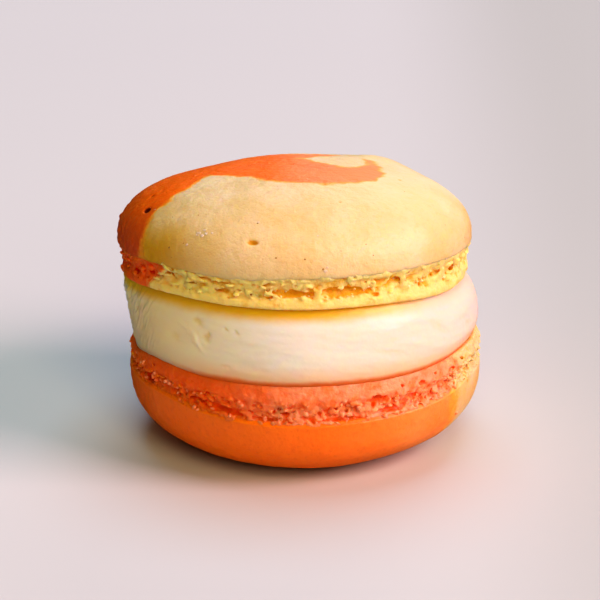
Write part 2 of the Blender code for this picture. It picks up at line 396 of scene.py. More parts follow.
class Wiring:
    """A node tree being wired, with a short call for each kind of node that this file uses."""

    def __init__(self, tree: bpy.types.NodeTree) -> None:
        """Starts wiring a tree."""
        self.tree = tree

    def feed(self, target: bpy.types.NodeSocket, value: object) -> None:
        """Links a value to the target socket, or sets the target's own number, colour or name."""
        if isinstance(value, Value):
            self.tree.links.new(value.socket, target)
        else:
            target.default_value = value

    def add(self, kind: str, inputs: Inputs | None = None, **settings: str) -> bpy.types.Node:
        """Adds a node, gives it its settings and feeds its inputs."""
        node = self.tree.nodes.new(kind)
        for name, setting in settings.items():
            setattr(node, name, setting)
        for key, value in (inputs or {}).items():
            self.feed(node.inputs[key], value)
        return node

    def make(self, kind: str, inputs: Inputs | None = None, output: str | int = 0, **settings: str) -> Value:
        """Adds a node.

        Args:
            kind: The node's type.
            inputs: What each of its inputs takes, by the input's name or place.
            output: The name or place of the output that is wanted.
            settings: The node's own options.

        Returns:
            What that output gives.
        """
        return Value(self, self.add(kind, inputs, **settings).outputs[output])

    def math(self, operation: str, *values: object) -> Value:
        """A Math node on up to three numbers."""
        return self.make("ShaderNodeMath", dict(enumerate(values)), operation=operation)

    def vector(self, operation: str, *values: object) -> Value:
        """A Vector Math node on up to two vectors, or on a vector and a scale."""
        keys = (0, "Scale") if operation == "SCALE" else (0, 1)
        output = "Value" if operation == "LENGTH" else "Vector"
        return self.make("ShaderNodeVectorMath", dict(zip(keys, values)), output, operation=operation)

    def parts(self, vector: object) -> tuple[Value, ...]:
        """A vector's X, Y and Z."""
        node = self.add("ShaderNodeSeparateXYZ", {"Vector": vector})
        return tuple(Value(self, socket) for socket in node.outputs)

    def joined(self, x: object, y: object, z: object) -> Value:
        """The vector with this X, Y and Z."""
        return self.make("ShaderNodeCombineXYZ", {"X": x, "Y": y, "Z": z})

    def step(
        self, value: object, low: object, high: object, start: object = 0.0, end: object = 1.0
    ) -> Value:
        """Goes smoothly from start to end as the value goes from low to high."""
        inputs = dict(enumerate((value, low, high, start, end)))
        return self.make("ShaderNodeMapRange", inputs, interpolation_type="SMOOTHSTEP")

    def curve(self, value: Value, points: Sequence[Span]) -> Value:
        """A smooth curve through points whose numbers all lie from 0 to 1."""
        node = self.add("ShaderNodeFloatCurve", {"Value": value})
        line = node.mapping.curves[0]
        line.points[0].location = points[0]
        line.points[1].location = points[-1]
        for point in points[1:-1]:
            line.points.new(*point)
        node.mapping.update()
        return Value(self, node.outputs[0])

    def cloud(self, spot: Value, scale: object, detail: float = 2.0, color: bool = False) -> Value:
        """A Noise Texture's number, or its colour."""
        inputs = {"Vector": spot, "Scale": scale, "Detail": detail}
        return self.make("ShaderNodeTexNoise", inputs, "Color" if color else 0, noise_dimensions="3D")

    def cells(self, spot: Value, scale: object) -> Value:
        """How far each place lies from the middle of its Voronoi Texture's cell."""
        return self.make("ShaderNodeTexVoronoi", {"Vector": spot, "Scale": scale}, "Distance")

    def blend(self, share: object, first: object, second: object) -> Value:
        """A colour between two."""
        colors = [(*color, 1.0) if isinstance(color, tuple) else color for color in (first, second)]
        return self.make("ShaderNodeMix", {0: share, 6: colors[0], 7: colors[1]}, 2, data_type="RGBA")

    def layered(self, color: object, *layers: tuple[object, object]) -> Value:
        """A colour with others laid over it in turn, each given as its share and the colour."""
        for share, over in layers:
            color = self.blend(share, color, over)
        return color


class SurfaceWiring(Wiring):
    """The node tree of a finish, whose Principled BSDF is already there."""

    def __init__(self, name: str) -> None:
        """Starts a new material."""
        self.material = bpy.data.materials.new(name)
        self.material.use_nodes = True
        super().__init__(self.material.node_tree)
        self.surface = self.tree.nodes["Principled BSDF"]
        self.spot = self.make("ShaderNodeTexCoord", output="Object")

    def kept(self, name: str) -> Value:
        """The number that the mesh keeps under this name."""
        return self.make("ShaderNodeAttribute", output="Fac", attribute_name=name)

    def pattern(self, per_mm: float, detail: float = 2.0) -> Value:
        """Soft noise from 0 to 1, with about so many features in a millimetre."""
        return self.cloud(self.spot, per_mm / MM, detail)

    def relief(self, *layers: tuple[Value, float]) -> Value:
        """Bump nodes laid one over another, each a height from 0 to 1 and its depth in millimetres."""
        below = {}
        for height, depth in layers:
            inputs = {"Strength": 1.0, "Distance": depth * MM, "Height": height}
            below = {"Normal": self.make("ShaderNodeBump", {**inputs, **below})}
        return below["Normal"]

    def finish(self, inputs: Inputs, softness: float = 0.0, depths: Color = (1.0, 1.0, 1.0)) -> Material:
        """Ends the material.

        Args:
            inputs: What each input of the surface takes, by its name.
            softness: How much light goes through just under the surface, from 0 to 1.
            depths: How deep red, green and blue light go there, in millimetres.

        Returns:
            The material.
        """
        self.surface.subsurface_method = "RANDOM_WALK"
        softened = {"Subsurface Weight": softness, "Subsurface Radius": depths, "Subsurface Scale": MM}
        for name, value in {**inputs, **softened}.items():
            self.feed(self.surface.inputs[name], value)
        return self.material


class ShapeWiring(Wiring):
    """A Geometry Nodes tree with named inputs, run once to make a plain mesh."""

    def __init__(self, name: str) -> None:
        """Starts a new tree that takes and gives a geometry."""
        super().__init__(bpy.data.node_groups.new(name, "GeometryNodeTree"))
        self.tree.interface.new_socket("Geometry", in_out="INPUT", socket_type="NodeSocketGeometry")
        self.tree.interface.new_socket("Geometry", in_out="OUTPUT", socket_type="NodeSocketGeometry")
        self.sizes = self.add("NodeGroupInput")
        self.result = self.add("NodeGroupOutput")
        self.spot = self.make("GeometryNodeInputPosition")

    @property
    def given(self) -> Value:
        """The geometry that the tree takes in."""
        return Value(self, self.sizes.outputs["Geometry"])

    def size(self, name: str, kind: str = "Float") -> Value:
        """A named input of the tree."""
        self.tree.interface.new_socket(name, in_out="INPUT", socket_type="NodeSocket" + kind)
        return Value(self, self.sizes.outputs[name])

    def kept(self, name: str, kind: str = "FLOAT") -> Value:
        """What the geometry keeps under this name."""
        return self.make("GeometryNodeInputNamedAttribute", {"Name": name}, "Attribute", data_type=kind)

    def end(self, shape: Value) -> None:
        """Realizes the instances, sets the finish and ends the tree."""
        real = self.make("GeometryNodeRealizeInstances", {"Geometry": shape})
        dressed = {"Geometry": real, "Material": self.size("Finish", "Material")}
        self.feed(self.result.inputs[0], self.make("GeometryNodeSetMaterial", dressed))

    def run(self, start: Mesh, sizes: dict[str, object]) -> Mesh:
        """Runs the tree on a mesh.

        Args:
            start: The mesh that the tree takes in.
            sizes: A value for each named input, and others that it passes over. "Finish" is the material.

        Returns:
            The result as a plain mesh with that one material.
        """
        host = bpy.data.objects.new(self.tree.name, start)
        bpy.context.scene.collection.objects.link(host)
        modifier = host.modifiers.new("shape", "NODES")
        modifier.node_group = self.tree
        for item in self.tree.interface.items_tree:
            if item.in_out == "INPUT" and item.name in sizes:
                modifier[item.identifier] = sizes[item.name]
        graph = bpy.context.evaluated_depsgraph_get()
        mesh = bpy.data.meshes.new_from_object(host.evaluated_get(graph))
        bpy.data.objects.remove(host)
        bpy.data.meshes.remove(start)
        dress(mesh, sizes["Finish"])
        mesh.shade_smooth()
        return mesh


def dress(mesh: Mesh, finish: Material) -> None:
    """Gives the whole mesh one material."""
    mesh.materials.clear()
    mesh.materials.append(finish)
    mesh.polygons.foreach_set("material_index", np.zeros(len(mesh.polygons), np.int32))


# ---- Finishes


@dataclass(frozen=True)
class BatterColors:
    """The two batters that are swirled in one piping bag, with painted shade and painted highlight colours
    laid over them.
    """

    yellow: Color = (0.72, 0.485, 0.20)
    pale_yellow: Color = (0.76, 0.54, 0.28)
    # painted shade for the yellow skin's left side, away from the key lamp
    golden: Color = (0.63, 0.31, 0.001)
    # the yellow freckles' colour, also the painted shade in the holes
    deep_yellow: Color = (0.66, 0.29, 0.008)
    amber: Color = (0.93, 0.33, 0.015)
    orange: Color = (0.97, 0.145, 0.0005)
    # painted highlight and reflection: a lighter orange towards one side
    pale_orange: Color = (0.97, 0.228, 0.063)
    # painted shade for the orange on the left side
    browned_orange: Color = (0.55, 0.07, 0.006)
    deep_orange: Color = (0.50, 0.03, 0.001)
    # painted shade in the holes of the orange
    pit_orange: Color = (0.10, 0.008, 0.002)
    yellow_foam: Color = (0.89, 0.61, 0.20)
    # painted shade in the foot's hollows, by depth
    yellow_hollow: Color = (0.86, 0.41, 0.008)
    # painted shade for the yellow foam on the left side
    golden_foam: Color = (0.94, 0.63, 0.18)
    orange_foam: Color = (0.98, 0.2, 0.045)
    pink_foam: Color = (0.96, 0.30, 0.135)
    # painted shade in the foot's hollows, by depth
    orange_hollow: Color = (0.95, 0.08, 0.002)
    # painted shade for the orange foam on the left side
    saturated_foam: Color = (0.95, 0.13, 0.004)
    # painted shade in the foot's caverns, by depth
    yellow_cavern: Color = (0.82, 0.33, 0.002)
    orange_cavern: Color = (0.48, 0.018, 0.001)


@dataclass(frozen=True)
class SkinFinish:
    """The baked skin: satin, finely pored, with the swirl's edge slightly feathered.

    It reads "swirl", how far inside the orange streak a place lies, from -1 to 1 over the streak's soft
    edge, "pit", how deep it lies in a hole in millimetres, where painted shade darkens the hole, the share
    of painted shade on the skin's left side, away from the key lamp, and the share of painted highlight that
    pales the orange. Depths are in millimetres.
    """

    name: str
    colors: BatterColors = BatterColors()
    edge_wander: float = 2.8
    edge_grain: float = 1.0
    freckle_strength: float = 0.14
    # how strongly the painted shade darkens the orange
    browned_strength: float = 0.75
    roughness_span: Span = (0.45, 0.59)
    specular: float = 0.6
    wave_depth: float = 0.16
    grain_depth: float = 0.045
    pore_depth: float = 0.022
    softness: float = 0.5
    light_depths: Color = (2.6, 1.2, 0.25)

    def swirl_inside(self, wiring: SurfaceWiring) -> Value:
        """-1 in the yellow batter and 1 in the orange one, with a feathered edge between them."""
        wander = (wiring.pattern(0.5, 3.0) - 0.5) * self.edge_wander
        grain = (wiring.pattern(3.0) - 0.5) * self.edge_grain
        return wander + wiring.kept("swirl") + grain

    def build(self) -> Material:
        """The skin's material, with freckles, soft orange-peel waves, fine grain and tiny pores."""
        wiring = SurfaceWiring(self.name)
        colors = self.colors
        inside = self.swirl_inside(wiring)
        orange_share = wiring.step(inside, -0.3, 1.0)
        # painted shade: this share darkens the skin's left side, which faces away from the key lamp
        golden = wiring.kept("golden")
        patches = wiring.step(wiring.pattern(0.16, 3.0), 0.35, 0.68)
        freckles = wiring.step(wiring.pattern(1.7), 0.52, 0.72)
        # painted highlight: this share pales the orange over a span along X, at the streak's tail on the
        # upper shell and on the right of the lower one
        highlight_share = (patches * 0.4 + 0.7) * wiring.kept("pale")
        orange_shade_share = golden * self.browned_strength
        deep = wiring.blend(orange_share, colors.deep_yellow, colors.deep_orange)
        # painted shade: holes darken by their depth
        pit = wiring.blend(orange_share, colors.deep_yellow, colors.pit_orange)
        orange = wiring.layered(colors.orange, (highlight_share, colors.pale_orange), (orange_shade_share, colors.browned_orange))
        base = wiring.layered(
            colors.yellow,
            (patches, colors.pale_yellow),
            (golden, colors.golden),
            (wiring.step(inside, -1.0, 0.3), colors.amber),
            (orange_share, orange),
            (freckles * self.freckle_strength, deep),
            (wiring.step(wiring.kept("pit"), 0.0, 0.2), pit),
        )
        relief = wiring.relief(
            (wiring.pattern(0.9, 3.0), self.wave_depth),
            (wiring.pattern(4.2), self.grain_depth),
            (wiring.step(wiring.cells(wiring.spot, 1.25 / MM), 0.06, 0.22), self.pore_depth),
        )
        inputs = {
            "Base Color": base,
            "Roughness": wiring.step(patches, 0.0, 1.0, *self.roughness_span),
            "Normal": relief,
            "Specular IOR Level": self.specular,
        }
        return wiring.finish(inputs, self.softness, self.light_depths)


@dataclass(frozen=True)
class FootFinish(SkinFinish):
    """The open foam of the foot: pale where it stands proud, with painted shade, darker and more saturated,
    in its hollows and caverns.

    It reads "swirl", the share of painted shade on the foot's left side, and "hollow", how deep a place lies
    under the foot's outline in millimetres.
    """

    edge_wander: float = 7.0
    edge_grain: float = 3.5
    # depths over which painted shade fills the hollows and the caverns
    hollow_depths: Span = (0.0, 0.58)
    cavern_depths: Span = (0.75, 1.35)
    mottling: float = 1.35
    roughness: float = 0.58
    wave_depth: float = 0.17
    grain_depth: float = 0.025
    softness: float = 0.75
    light_depths: Color = (2.2, 1.2, 0.4)

    def build(self) -> Material:
        """The foot's material, with foam in two tones, mottled, and painted shade by depth in its hollows.
        """
        wiring = SurfaceWiring(self.name)
        colors = self.colors
        orange_share = wiring.step(self.swirl_inside(wiring), -1.0, 1.0)
        hollow = wiring.kept("hollow")
        # painted shade: this share deepens the foam's colour on the left side, away from the key lamp
        golden = wiring.kept("golden")
        mottled = (wiring.pattern(0.85, 3.0) - 0.5) * self.mottling + hollow
        blotches = wiring.step(wiring.pattern(0.55, 3.0), 0.35, 0.57)
        orange = wiring.layered(
            colors.orange_foam, (blotches, colors.pink_foam), (golden, colors.saturated_foam)
        )
        # painted shade: the hollows and caverns darken and saturate by depth, broken up by noise
        hollow_shade = wiring.blend(orange_share, colors.yellow_hollow, colors.orange_hollow)
        cavern = wiring.blend(orange_share, colors.yellow_cavern, colors.orange_cavern)
        base = wiring.layered(
            colors.yellow_foam,
            (golden, colors.golden_foam),
            (orange_share, orange),
            (wiring.step(mottled, *self.hollow_depths), hollow_shade),
            (wiring.step(hollow, *self.cavern_depths), cavern),
        )
        inputs = {
            "Base Color": base,
            "Roughness": self.roughness,
            "Normal": wiring.relief(
                (wiring.pattern(2.2, 3.0), self.wave_depth), (wiring.pattern(8.0), self.grain_depth)
            ),
            "Specular IOR Level": self.specular,
        }
        return wiring.finish(inputs, self.softness, self.light_depths)


@dataclass(frozen=True)
class ButtercreamFinish:
    """Smooth ivory cream with painted light: shade under the upper shell, on its sides and in its dents,
    orange bounce below.

    It reads "share", 0 at the lower rim of the filling and 1 at its upper rim, and "dent", how deep a place
    lies in a dent. Spans and depths are in millimetres, the spans from start to end along X.
    """

    ivory: Color = (0.775, 0.72, 0.65)
    warm: Color = (0.82, 0.68, 0.48)
    # painted shade: a warmer, yellower cream on the left side, away from the key lamp
    crusted: Color = (0.88, 0.69, 0.36)
    # painted shade: a duller cream on the right side, which the key lamp lights
    matt: Color = (0.76, 0.61, 0.49)
    # painted shade: gold shade under the upper shell's foot, fading towards the lit right side
    golden: Color = (0.80, 0.43, 0.012)
    # painted orange bounce light from the shell below, and a painted dark red contact shade at the rim
    peach: Color = (0.95, 0.50, 0.24)
    stained: Color = (0.97, 0.16, 0.02)
    # painted shade in the dents
    dented: Color = (0.74, 0.54, 0.14)
    # spans along X of painted light: warm shade on the left, darkening on the lit right, and where the gold
    # shade under the upper shell fades
    crust_span: Span = (-2.0, -22.0)
    matt_span: Span = (0.0, 16.0)
    golden_span: Span = (9.0, 17.5)
    roughness: float = 0.42
    wave_depth: float = 0.05
    grain_depth: float = 0.012
    softness: float = 0.8
    light_depths: Color = (4.0, 2.5, 0.8)

    def build(self) -> Material:
        """The cream's material."""
        wiring = SurfaceWiring("buttercream")
        x, _, _ = wiring.parts(wiring.spot)

        def along(span: Span, start: float = 0.0, end: float = 1.0) -> Value:
            """Goes from start to end over a span along X."""
            return wiring.step(x, span[0] * MM, span[1] * MM, start, end)

        # painted shade: the cream turns warmer towards the left, and the painted bounce at the lower rim
        # fades there
        left_shade = along(self.crust_span)
        off_left_shade = wiring.step(left_shade, 0.35, 0.95, 1.0, 0.15)
        level = (wiring.pattern(0.5) - 0.5) * 0.05 + wiring.kept("share")
        color = wiring.layered(
            self.ivory,
            (wiring.step(wiring.pattern(0.2), 0.35, 0.7, 0.0, 0.3), self.warm),
            (left_shade, self.crusted),
            # painted shade: darker towards the lit right side
            (along(self.matt_span), self.matt),
            # painted shade: the dents darken by their depth
            (wiring.step(wiring.kept("dent"), 0.02, 0.22, 0.0, 0.55), self.dented),
            # painted shade: a gold band just under the upper shell, fading towards the right
            (along(self.golden_span, 1.0, 0.15) * wiring.step(level, 0.77, 0.93), self.golden),
            # painted orange bounce light near the lower shell, and painted contact shade right at its rim
            (off_left_shade * wiring.step(level, 0.34, 0.04, 0.0, 0.8), self.peach),
            (off_left_shade * wiring.step(level, 0.10, 0.015), self.stained),
        )
        inputs = {
            "Base Color": color,
            "Roughness": self.roughness,
            "Normal": wiring.relief(
                (wiring.pattern(0.7), self.wave_depth), (wiring.pattern(3.4), self.grain_depth)
            ),
        }
        return wiring.finish(inputs, self.softness, self.light_depths)


@dataclass(frozen=True)
class CrumbFinish:
    """Loose crumbs and flecks, each a little lighter or darker than the next."""

    name: str
    color: Color
    other: Color
    roughness: float = 0.7
    grain_depth: float = 0.03
    softness: float = 0.2
    light_depths: Color = (0.8, 0.4, 0.2)

    def build(self) -> Material:
        """The crumbs' material."""
        wiring = SurfaceWiring(self.name)
        share = wiring.step(wiring.pattern(1.2, 1.0), 0.4, 0.6)
        inputs = {
            "Base Color": wiring.blend(share, self.color, self.other),
            "Roughness": self.roughness,
            "Normal": wiring.relief((wiring.pattern(5.0), self.grain_depth)),
        }
        return wiring.finish(inputs, self.softness, self.light_depths)


# ---- Shells


@dataclass(frozen=True)
class Hollow:
    """A cavern in the foot, run from one angle and height to another, with a radius in millimetres."""

    start: float
    end: float
    height: float
    end_height: float
    reach: float
    sink: float = 0.25


@dataclass(frozen=True)
class FoamFoot:
    """The sizes of a shell's foot: a smooth lip at the sole, then ruffled foam up to the skin's edge.

    The outline is (height, radius) points from the sole up. Pores are cells of foam whose walls have
    broken: their spacing and reach set how large and how close they are.
    """

    outline: tuple[Span, ...]
    lip_height: float
    lip_fade: float
    relief: float
    fine_relief: float
    pore_spacing: float
    pore_reach: float
    small_pore_spacing: float
    small_pore_reach: float
    pore_depth: float
    small_pore_depth: float
    hollow_depth: float
    nodule_spacing: float
    nodule_reach: float
    hollows: tuple[Hollow, ...]
    lip_wander: float = 2.2
    inner_radius: float = 20.0
    overlap: float = 0.6
    squash: float = 1.35
    fine_voxel: float = 0.165
    coarse_voxel: float = 0.205
    quick_voxel: float = 0.3
    split: float = -6.0
    split_overlap: float = 0.12
    room: float = 1.2
    room_voxels: float = 3.0
    warp_scale: float = 0.9
    warp_reach: float = 0.9
    cavern_warp_reach: float = 0.55
    large_scale: float = 0.55
    fine_scale: float = 1.6
    lip_relief_share: float = 0.4
    nodule_gap: float = 0.9
    nodule_blend: float = 0.3
    pore_blend: float = 0.25
    cavern_blend: float = 0.15
    cut_blend: float = 0.28

    def radii(self, heights: Array) -> Array:
        """The outline's radius at each height."""
        return np.interp(heights, *np.array(self.outline).T)

    def tree(self, name: str) -> ShapeWiring:
        """The tree that grows the foot as the surface of a density field.

        The field is above 0 inside the foot. It starts from the turned outline, is ruffled by noise, gets
        rounded nodules, and loses open pores and the caverns around the points that the tree takes in.

        Args:
            name: The tree's name.

        Returns:
            The tree, ready to run.
        """
        tree = ShapeWiring(name)
        foot_height, lip_height = tree.size("Foot Height"), tree.size("Lip Height")
        x, y, height = tree.parts(tree.spot)
        radius = tree.vector("LENGTH", tree.joined(x, y, 0.0))
        turned = self.turned(tree, height)

        squashed = tree.vector("MULTIPLY", tree.spot, tree.joined(1.0, 1.0, tree.size("Squash")))
        place = tree.vector("ADD", squashed, tree.size("Seed", "Vector"))
        warp = tree.vector("SUBTRACT", tree.cloud(place, self.warp_scale, 1.0, color=True), (0.5, 0.5, 0.5))
        warped = tree.vector("ADD", place, tree.vector("SCALE", warp, self.warp_reach))

        large = tree.cloud(warped, self.large_scale)
        wandering = (large - 0.5) * tree.size("Lip Wander") + height
        above_lip = tree.step(wandering, lip_height, lip_height + tree.size("Lip Fade"))
        on_lip = (1.0 - above_lip) * 2.0
        relief = (large - 0.5) * tree.size("Relief")
        relief = (tree.cloud(warped, self.fine_scale, 3.0) - 0.5) * tree.size("Fine Relief") + relief
        shown = above_lip * (1.0 - self.lip_relief_share) + self.lip_relief_share
        body = turned + relief * shown - radius

        near_skin = tree.step(height, foot_height - self.nodule_gap, foot_height)
        nodule = self.nodules(tree, warped, radius - turned) - near_skin - on_lip
        body = tree.math("SMOOTH_MAX", body, nodule, self.nodule_blend)
        under = turned - radius
        pore = self.pores(tree, warped, large, under) - on_lip
        pore = tree.math("SMOOTH_MAX", pore, self.caverns(tree, warp, under), self.cavern_blend)

        solid = tree.math("SMOOTH_MIN", body, pore * -1.0, self.cut_blend)
        top = foot_height + tree.size("Overlap")
        for limit in (radius - tree.size("Inner Radius"), height, top - height):
            solid = tree.math("MINIMUM", solid, limit)
        low, high = tree.size("Low Corner", "Vector"), tree.size("High Corner", "Vector")
        voxel = tree.size("Voxel Size")
        block = {"Density": solid, "Background": -1.0, "Min": low, "Max": high}
        for axis, span in zip("XYZ", tree.parts(tree.vector("SUBTRACT", high, low))):
            block["Resolution " + axis] = span / voxel
        volume = tree.make("GeometryNodeVolumeCube", block)
        tree.end(tree.make("GeometryNodeVolumeToMesh", {"Volume": volume, "Threshold": 0.0}))
        return tree

    def turned(self, tree: ShapeWiring, height: Value) -> Value:
        """The outline's radius at each height, as a smooth curve."""
        heights, radii = np.array(self.outline).T
        low, span = radii.min() - 0.5, np.ptp(radii) + 1.0
        points = [(up / heights[-1], (out - low) / span) for up, out in self.outline]
        return tree.curve(height / float(heights[-1]), points) * span + low

    def nodules(self, tree: ShapeWiring, warped: Value, outside: Value) -> Value:
        """Round beads of foam on the outline, above 0 inside them."""
        spacing = tree.size("Nodule Spacing")
        away = tree.cells(warped, 1.0 / spacing) * spacing
        return tree.size("Nodule Reach") - tree.math("SQRT", outside * outside + away * away)

    def pores(self, tree: ShapeWiring, warped: Value, large: Value, under: Value) -> Value:
        """Large and small open pores, above 0 inside them, more of them where the noise is high."""
        kinds = []
        for kind, bias in (("Pore", (-0.4, 0.08)), ("Small Pore", (-0.08, 0.04))):
            spacing = tree.size(kind + " Spacing")
            pore = tree.size(kind + " Reach") - tree.cells(warped, 1.0 / spacing) * spacing
            pore = pore + tree.step(large, 0.42, 0.60, *bias)
            kinds.append(tree.math("SMOOTH_MIN", pore, tree.size(kind + " Depth") - under, 0.3))
        return tree.math("SMOOTH_MAX", *kinds, self.pore_blend)

    def caverns(self, tree: ShapeWiring, warp: Value, under: Value) -> Value:
        """The caverns around the tree's own points, above 0 inside them."""
        ragged = tree.vector("ADD", tree.spot, tree.vector("SCALE", warp, self.cavern_warp_reach))
        near = {"Geometry": tree.given, "Sample Position": ragged}
        distance = tree.make("GeometryNodeProximity", near, "Distance", target_element="POINTS")
        nearest = {"Geometry": tree.given, "Sample Position": tree.spot}
        index = tree.make("GeometryNodeSampleNearest", nearest, "Index", domain="POINT")
        kept = {"Geometry": tree.given, "Value": tree.kept("reach"), "Index": index}
        reach = tree.make("GeometryNodeSampleIndex", kept, domain="POINT", data_type="FLOAT")
        return tree.math("MINIMUM", reach - distance, tree.size("Hollow Depth") - under)


@dataclass
class Shell:
    """One baked shell: its skin and its foot, with the sizes that the solid model has."""

    node: str
    slot: Slot
    sole_radius: float
    edge_radius: float
    foot_height: float
    widest_radius: float
    widest_height: float
    dome_height: float
    dome_fullness: float
    lean: float
    turned_over: bool
    seed: float
    lip_swells: tuple[Swell, ...]
    edge_swells: tuple[Swell, ...]
    dome_lumps: tuple[Lump, ...]
    strokes: tuple[Stroke, ...]
    strokes_are_orange: bool
    swirl_softness: float
    foot_swirl_shift: float
    crevice_swirl_shift: float
    pits: tuple[Pit, ...]
    foot: FoamFoot
    waves: float = 0.14
    wave_turns: float = 2.6
    lumps_fade_in: float = 0.4
    flat_sole_share: float = 0.72
    sole_rim_share: float = 0.97
    around: int = 640
    ring_gap: float = 0.21
    hidden_radii: tuple[float, ...] = (19.0, 14.0, 7.0)
    cavern_gap: float = 0.45
    cavern_taper: float = 0.45
    flat_spot_depth: float = 0.16
    slow: Grain = Grain(4.5, 0.05)
    small: Grain = Grain(1.3, 0.022, 5.0)
    pimples: Grain = Grain(0.75, 0.05, 9.0, 1)
    ragged: Grain = Grain(0.8, 0.1, 3.0)
    crumbly: Grain = Grain(0.8, 0.15, 7.0, 3)
    rough_side: Swell = Swell(-178, 22, 1.3)
    ragged_height: float = 0.5
    crumbly_height: float = 5.0
    pimples_off_swirl: float = 1.5
    pimples_spread: float = 2.2
    # painted shade on the left side, away from the key lamp: its angle, reach, amount, ragged edge, core and
    # how it widens the swirl's edge
    browned_angle: float = -165.0
    browned_reach: float = 55.0
    browned_share: float = 1.0
    browned_edge: Grain = Grain(4.0, 1.2, 13.0, 3)
    browned_core: float = 0.45
    browned_softening: float = 1.6
    # where the painted highlight pales the orange, along X in millimetres
    pale_span: Span = (-4.0, 2.0)
    # how far the painted shade reaches round the foot
    foot_browned_reach: float = 85.0
    swirl_edge: Grain = Grain(2.1, 0.55, 17.0)
    foam_seeds: Spot = (3.1, 1.7, 1.0)

    def __post_init__(self) -> None:
        """Finds where the shell lies in the macaron."""
        self.place = Vector((0.0, 0.0, 0.0))
        low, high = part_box(self.node)
        outline = self.dome_outline(60)[1:]
        dome = turned_rings(outline, np.arange(0.0, 360.0, 2.0)).reshape(-1, 3)
        points = self.placed(self.uneven(dome)) / MM
        middle = 0.5 * (points.min(axis=0) + points.max(axis=0))
        wanted = 0.5 * (low + high) / MM
        if self.turned_over:
            rise = low.z / MM - self.flat_spot_depth - points[:, 2].min()
        else:
            rise = high.z / MM - points[:, 2].max()
        self.place = Vector((wanted.x - middle[0], wanted.y - middle[1], rise))
        log.info("%s lies at %.3f %.3f %.3f mm", self.node, *self.place)

    @property
    def top(self) -> float:
        """The dome's height over the sole."""
        return self.widest_height + self.dome_height

    @property
    def axis(self) -> Array:
        """Where the middle of the sole lies in plan."""
        return np.array(self.place[:2])

    def matrix(self) -> Matrix:
        """Where the shell's own frame lies in the macaron, from millimetres to metres."""
        turn = Matrix.Rotation(math.pi, 4, "Y") if self.turned_over else Matrix.Identity(4)
        lean = Matrix.Rotation(math.radians(self.lean), 4, "X")
        return Matrix.Scale(MM, 4) @ Matrix.Translation(self.place) @ lean @ turn

    def placed(self, points: Array) -> Array:
        """Points of the shell's own frame in the macaron, in metres."""
        return transformed(points, self.matrix())

    def settle(self, mesh: Mesh, points: Array) -> None:
        """Puts the mesh's vertices at their places in the macaron, flattened where they meet the floor."""
        points = self.placed(points)
        points[:, 2] = np.maximum(points[:, 2], 0.0)
        move_points(mesh, points)

    def plan(self, points: Array) -> Array:
        """Where points of the shell's own frame lie in plan, in the macaron's directions."""
        return points[:, :2] * ((-1.0, 1.0) if self.turned_over else (1.0, 1.0))

    def rim_share(self, radii: Array) -> Array:
        """0 over the flat middle of the sole and 1 at its rim."""
        return smooth_step(self.flat_sole_share, self.sole_rim_share, radii / self.sole_radius)

    def lip_rise(self, angles: Array, radii: Array) -> Array:
        """How far the sole rises into the shell."""
        return total(self.lip_swells, angles) * self.rim_share(radii)

    def uneven(self, points: Array) -> Array:
        """Lifts and spreads points of the true turned shell to where they lie on the real one."""
        plan, heights = self.plan(points), points[:, 2]
        angles, radii = angles_of(plan), np.hypot(*plan.T)
        up_foot = smooth_step(0.0, self.foot_height, heights)
        up_dome = np.maximum(heights - self.foot_height, 0.0) / (self.top - self.foot_height)
        lip = self.lip_rise(angles, radii) * (1.0 - up_foot)
        edge = total(self.edge_swells, angles) * up_foot * (1.0 - up_dome) ** 2
        lumps = sum(lump.at(angles, radii) for lump in self.dome_lumps)
        lumps = lumps * smooth_step(0.0, self.lumps_fade_in, up_dome)
        level = heights / self.widest_radius
        wave = self.waves * up_dome * ring_noise(angles, level, self.wave_turns, self.seed)
        outline = ring_noise(angles, np.zeros(1), self.wave_turns, 3.0 * self.seed)
        spread = 1.0 + self.waves * self.rim_share(radii) * outline / np.maximum(radii, 1.0)
        moved = points * np.stack([spread, spread, np.ones(len(points))], axis=1)
        moved[:, 2] += lip + edge + lumps + wave
        return moved

    def dome_outline(self, steps: int) -> Array:
        """(radius, height) points of the dome, a superellipse from the axis out to its widest ring."""
        turn = 0.5 * math.pi * (1.0 - np.linspace(0.0, 1.0, steps))
        power = 2.0 / self.dome_fullness
        radii = self.widest_radius * np.clip(np.cos(turn), 0.0, 1.0) ** power
        heights = self.widest_height + self.dome_height * np.clip(np.sin(turn), 0.0, 1.0) ** power
        return np.stack([radii, heights], axis=1)

    def skin_outline(self) -> Array:
        """Evenly spaced (radius, height) points from the axis over the dome to the hidden underside."""
        edge, foot = self.edge_radius, self.foot_height
        curl = [(edge + 0.03, foot + 0.3), (edge - 0.04, foot + 0.08), (edge - 0.2, foot - 0.06)]
        under = [(edge - 0.45, foot - 0.08), (edge - 0.8, foot), (edge - 1.6, foot + 0.1)]
        line = np.concatenate([self.dome_outline(400), curl, under])
        lengths = np.concatenate([[0.0], np.cumsum(np.hypot(*np.diff(line, axis=0).T))])
        evenly = np.arange(self.ring_gap, lengths[-1], self.ring_gap)
        fine = np.stack([np.interp(evenly, lengths, line[:, axis]) for axis in (0, 1)], axis=1)
        return np.concatenate([fine, [(radius, foot + 0.1) for radius in self.hidden_radii]])

    def swirl(self, plan: Array) -> Array:
        """How far inside the orange batter each place in plan lies, in millimetres."""
        inside = np.max([stroke.inside(plan) for stroke in self.strokes], axis=0)
        inside += self.swirl_edge.at(on_sheet(*plan.T), self.seed)
        return inside if self.strokes_are_orange else -inside

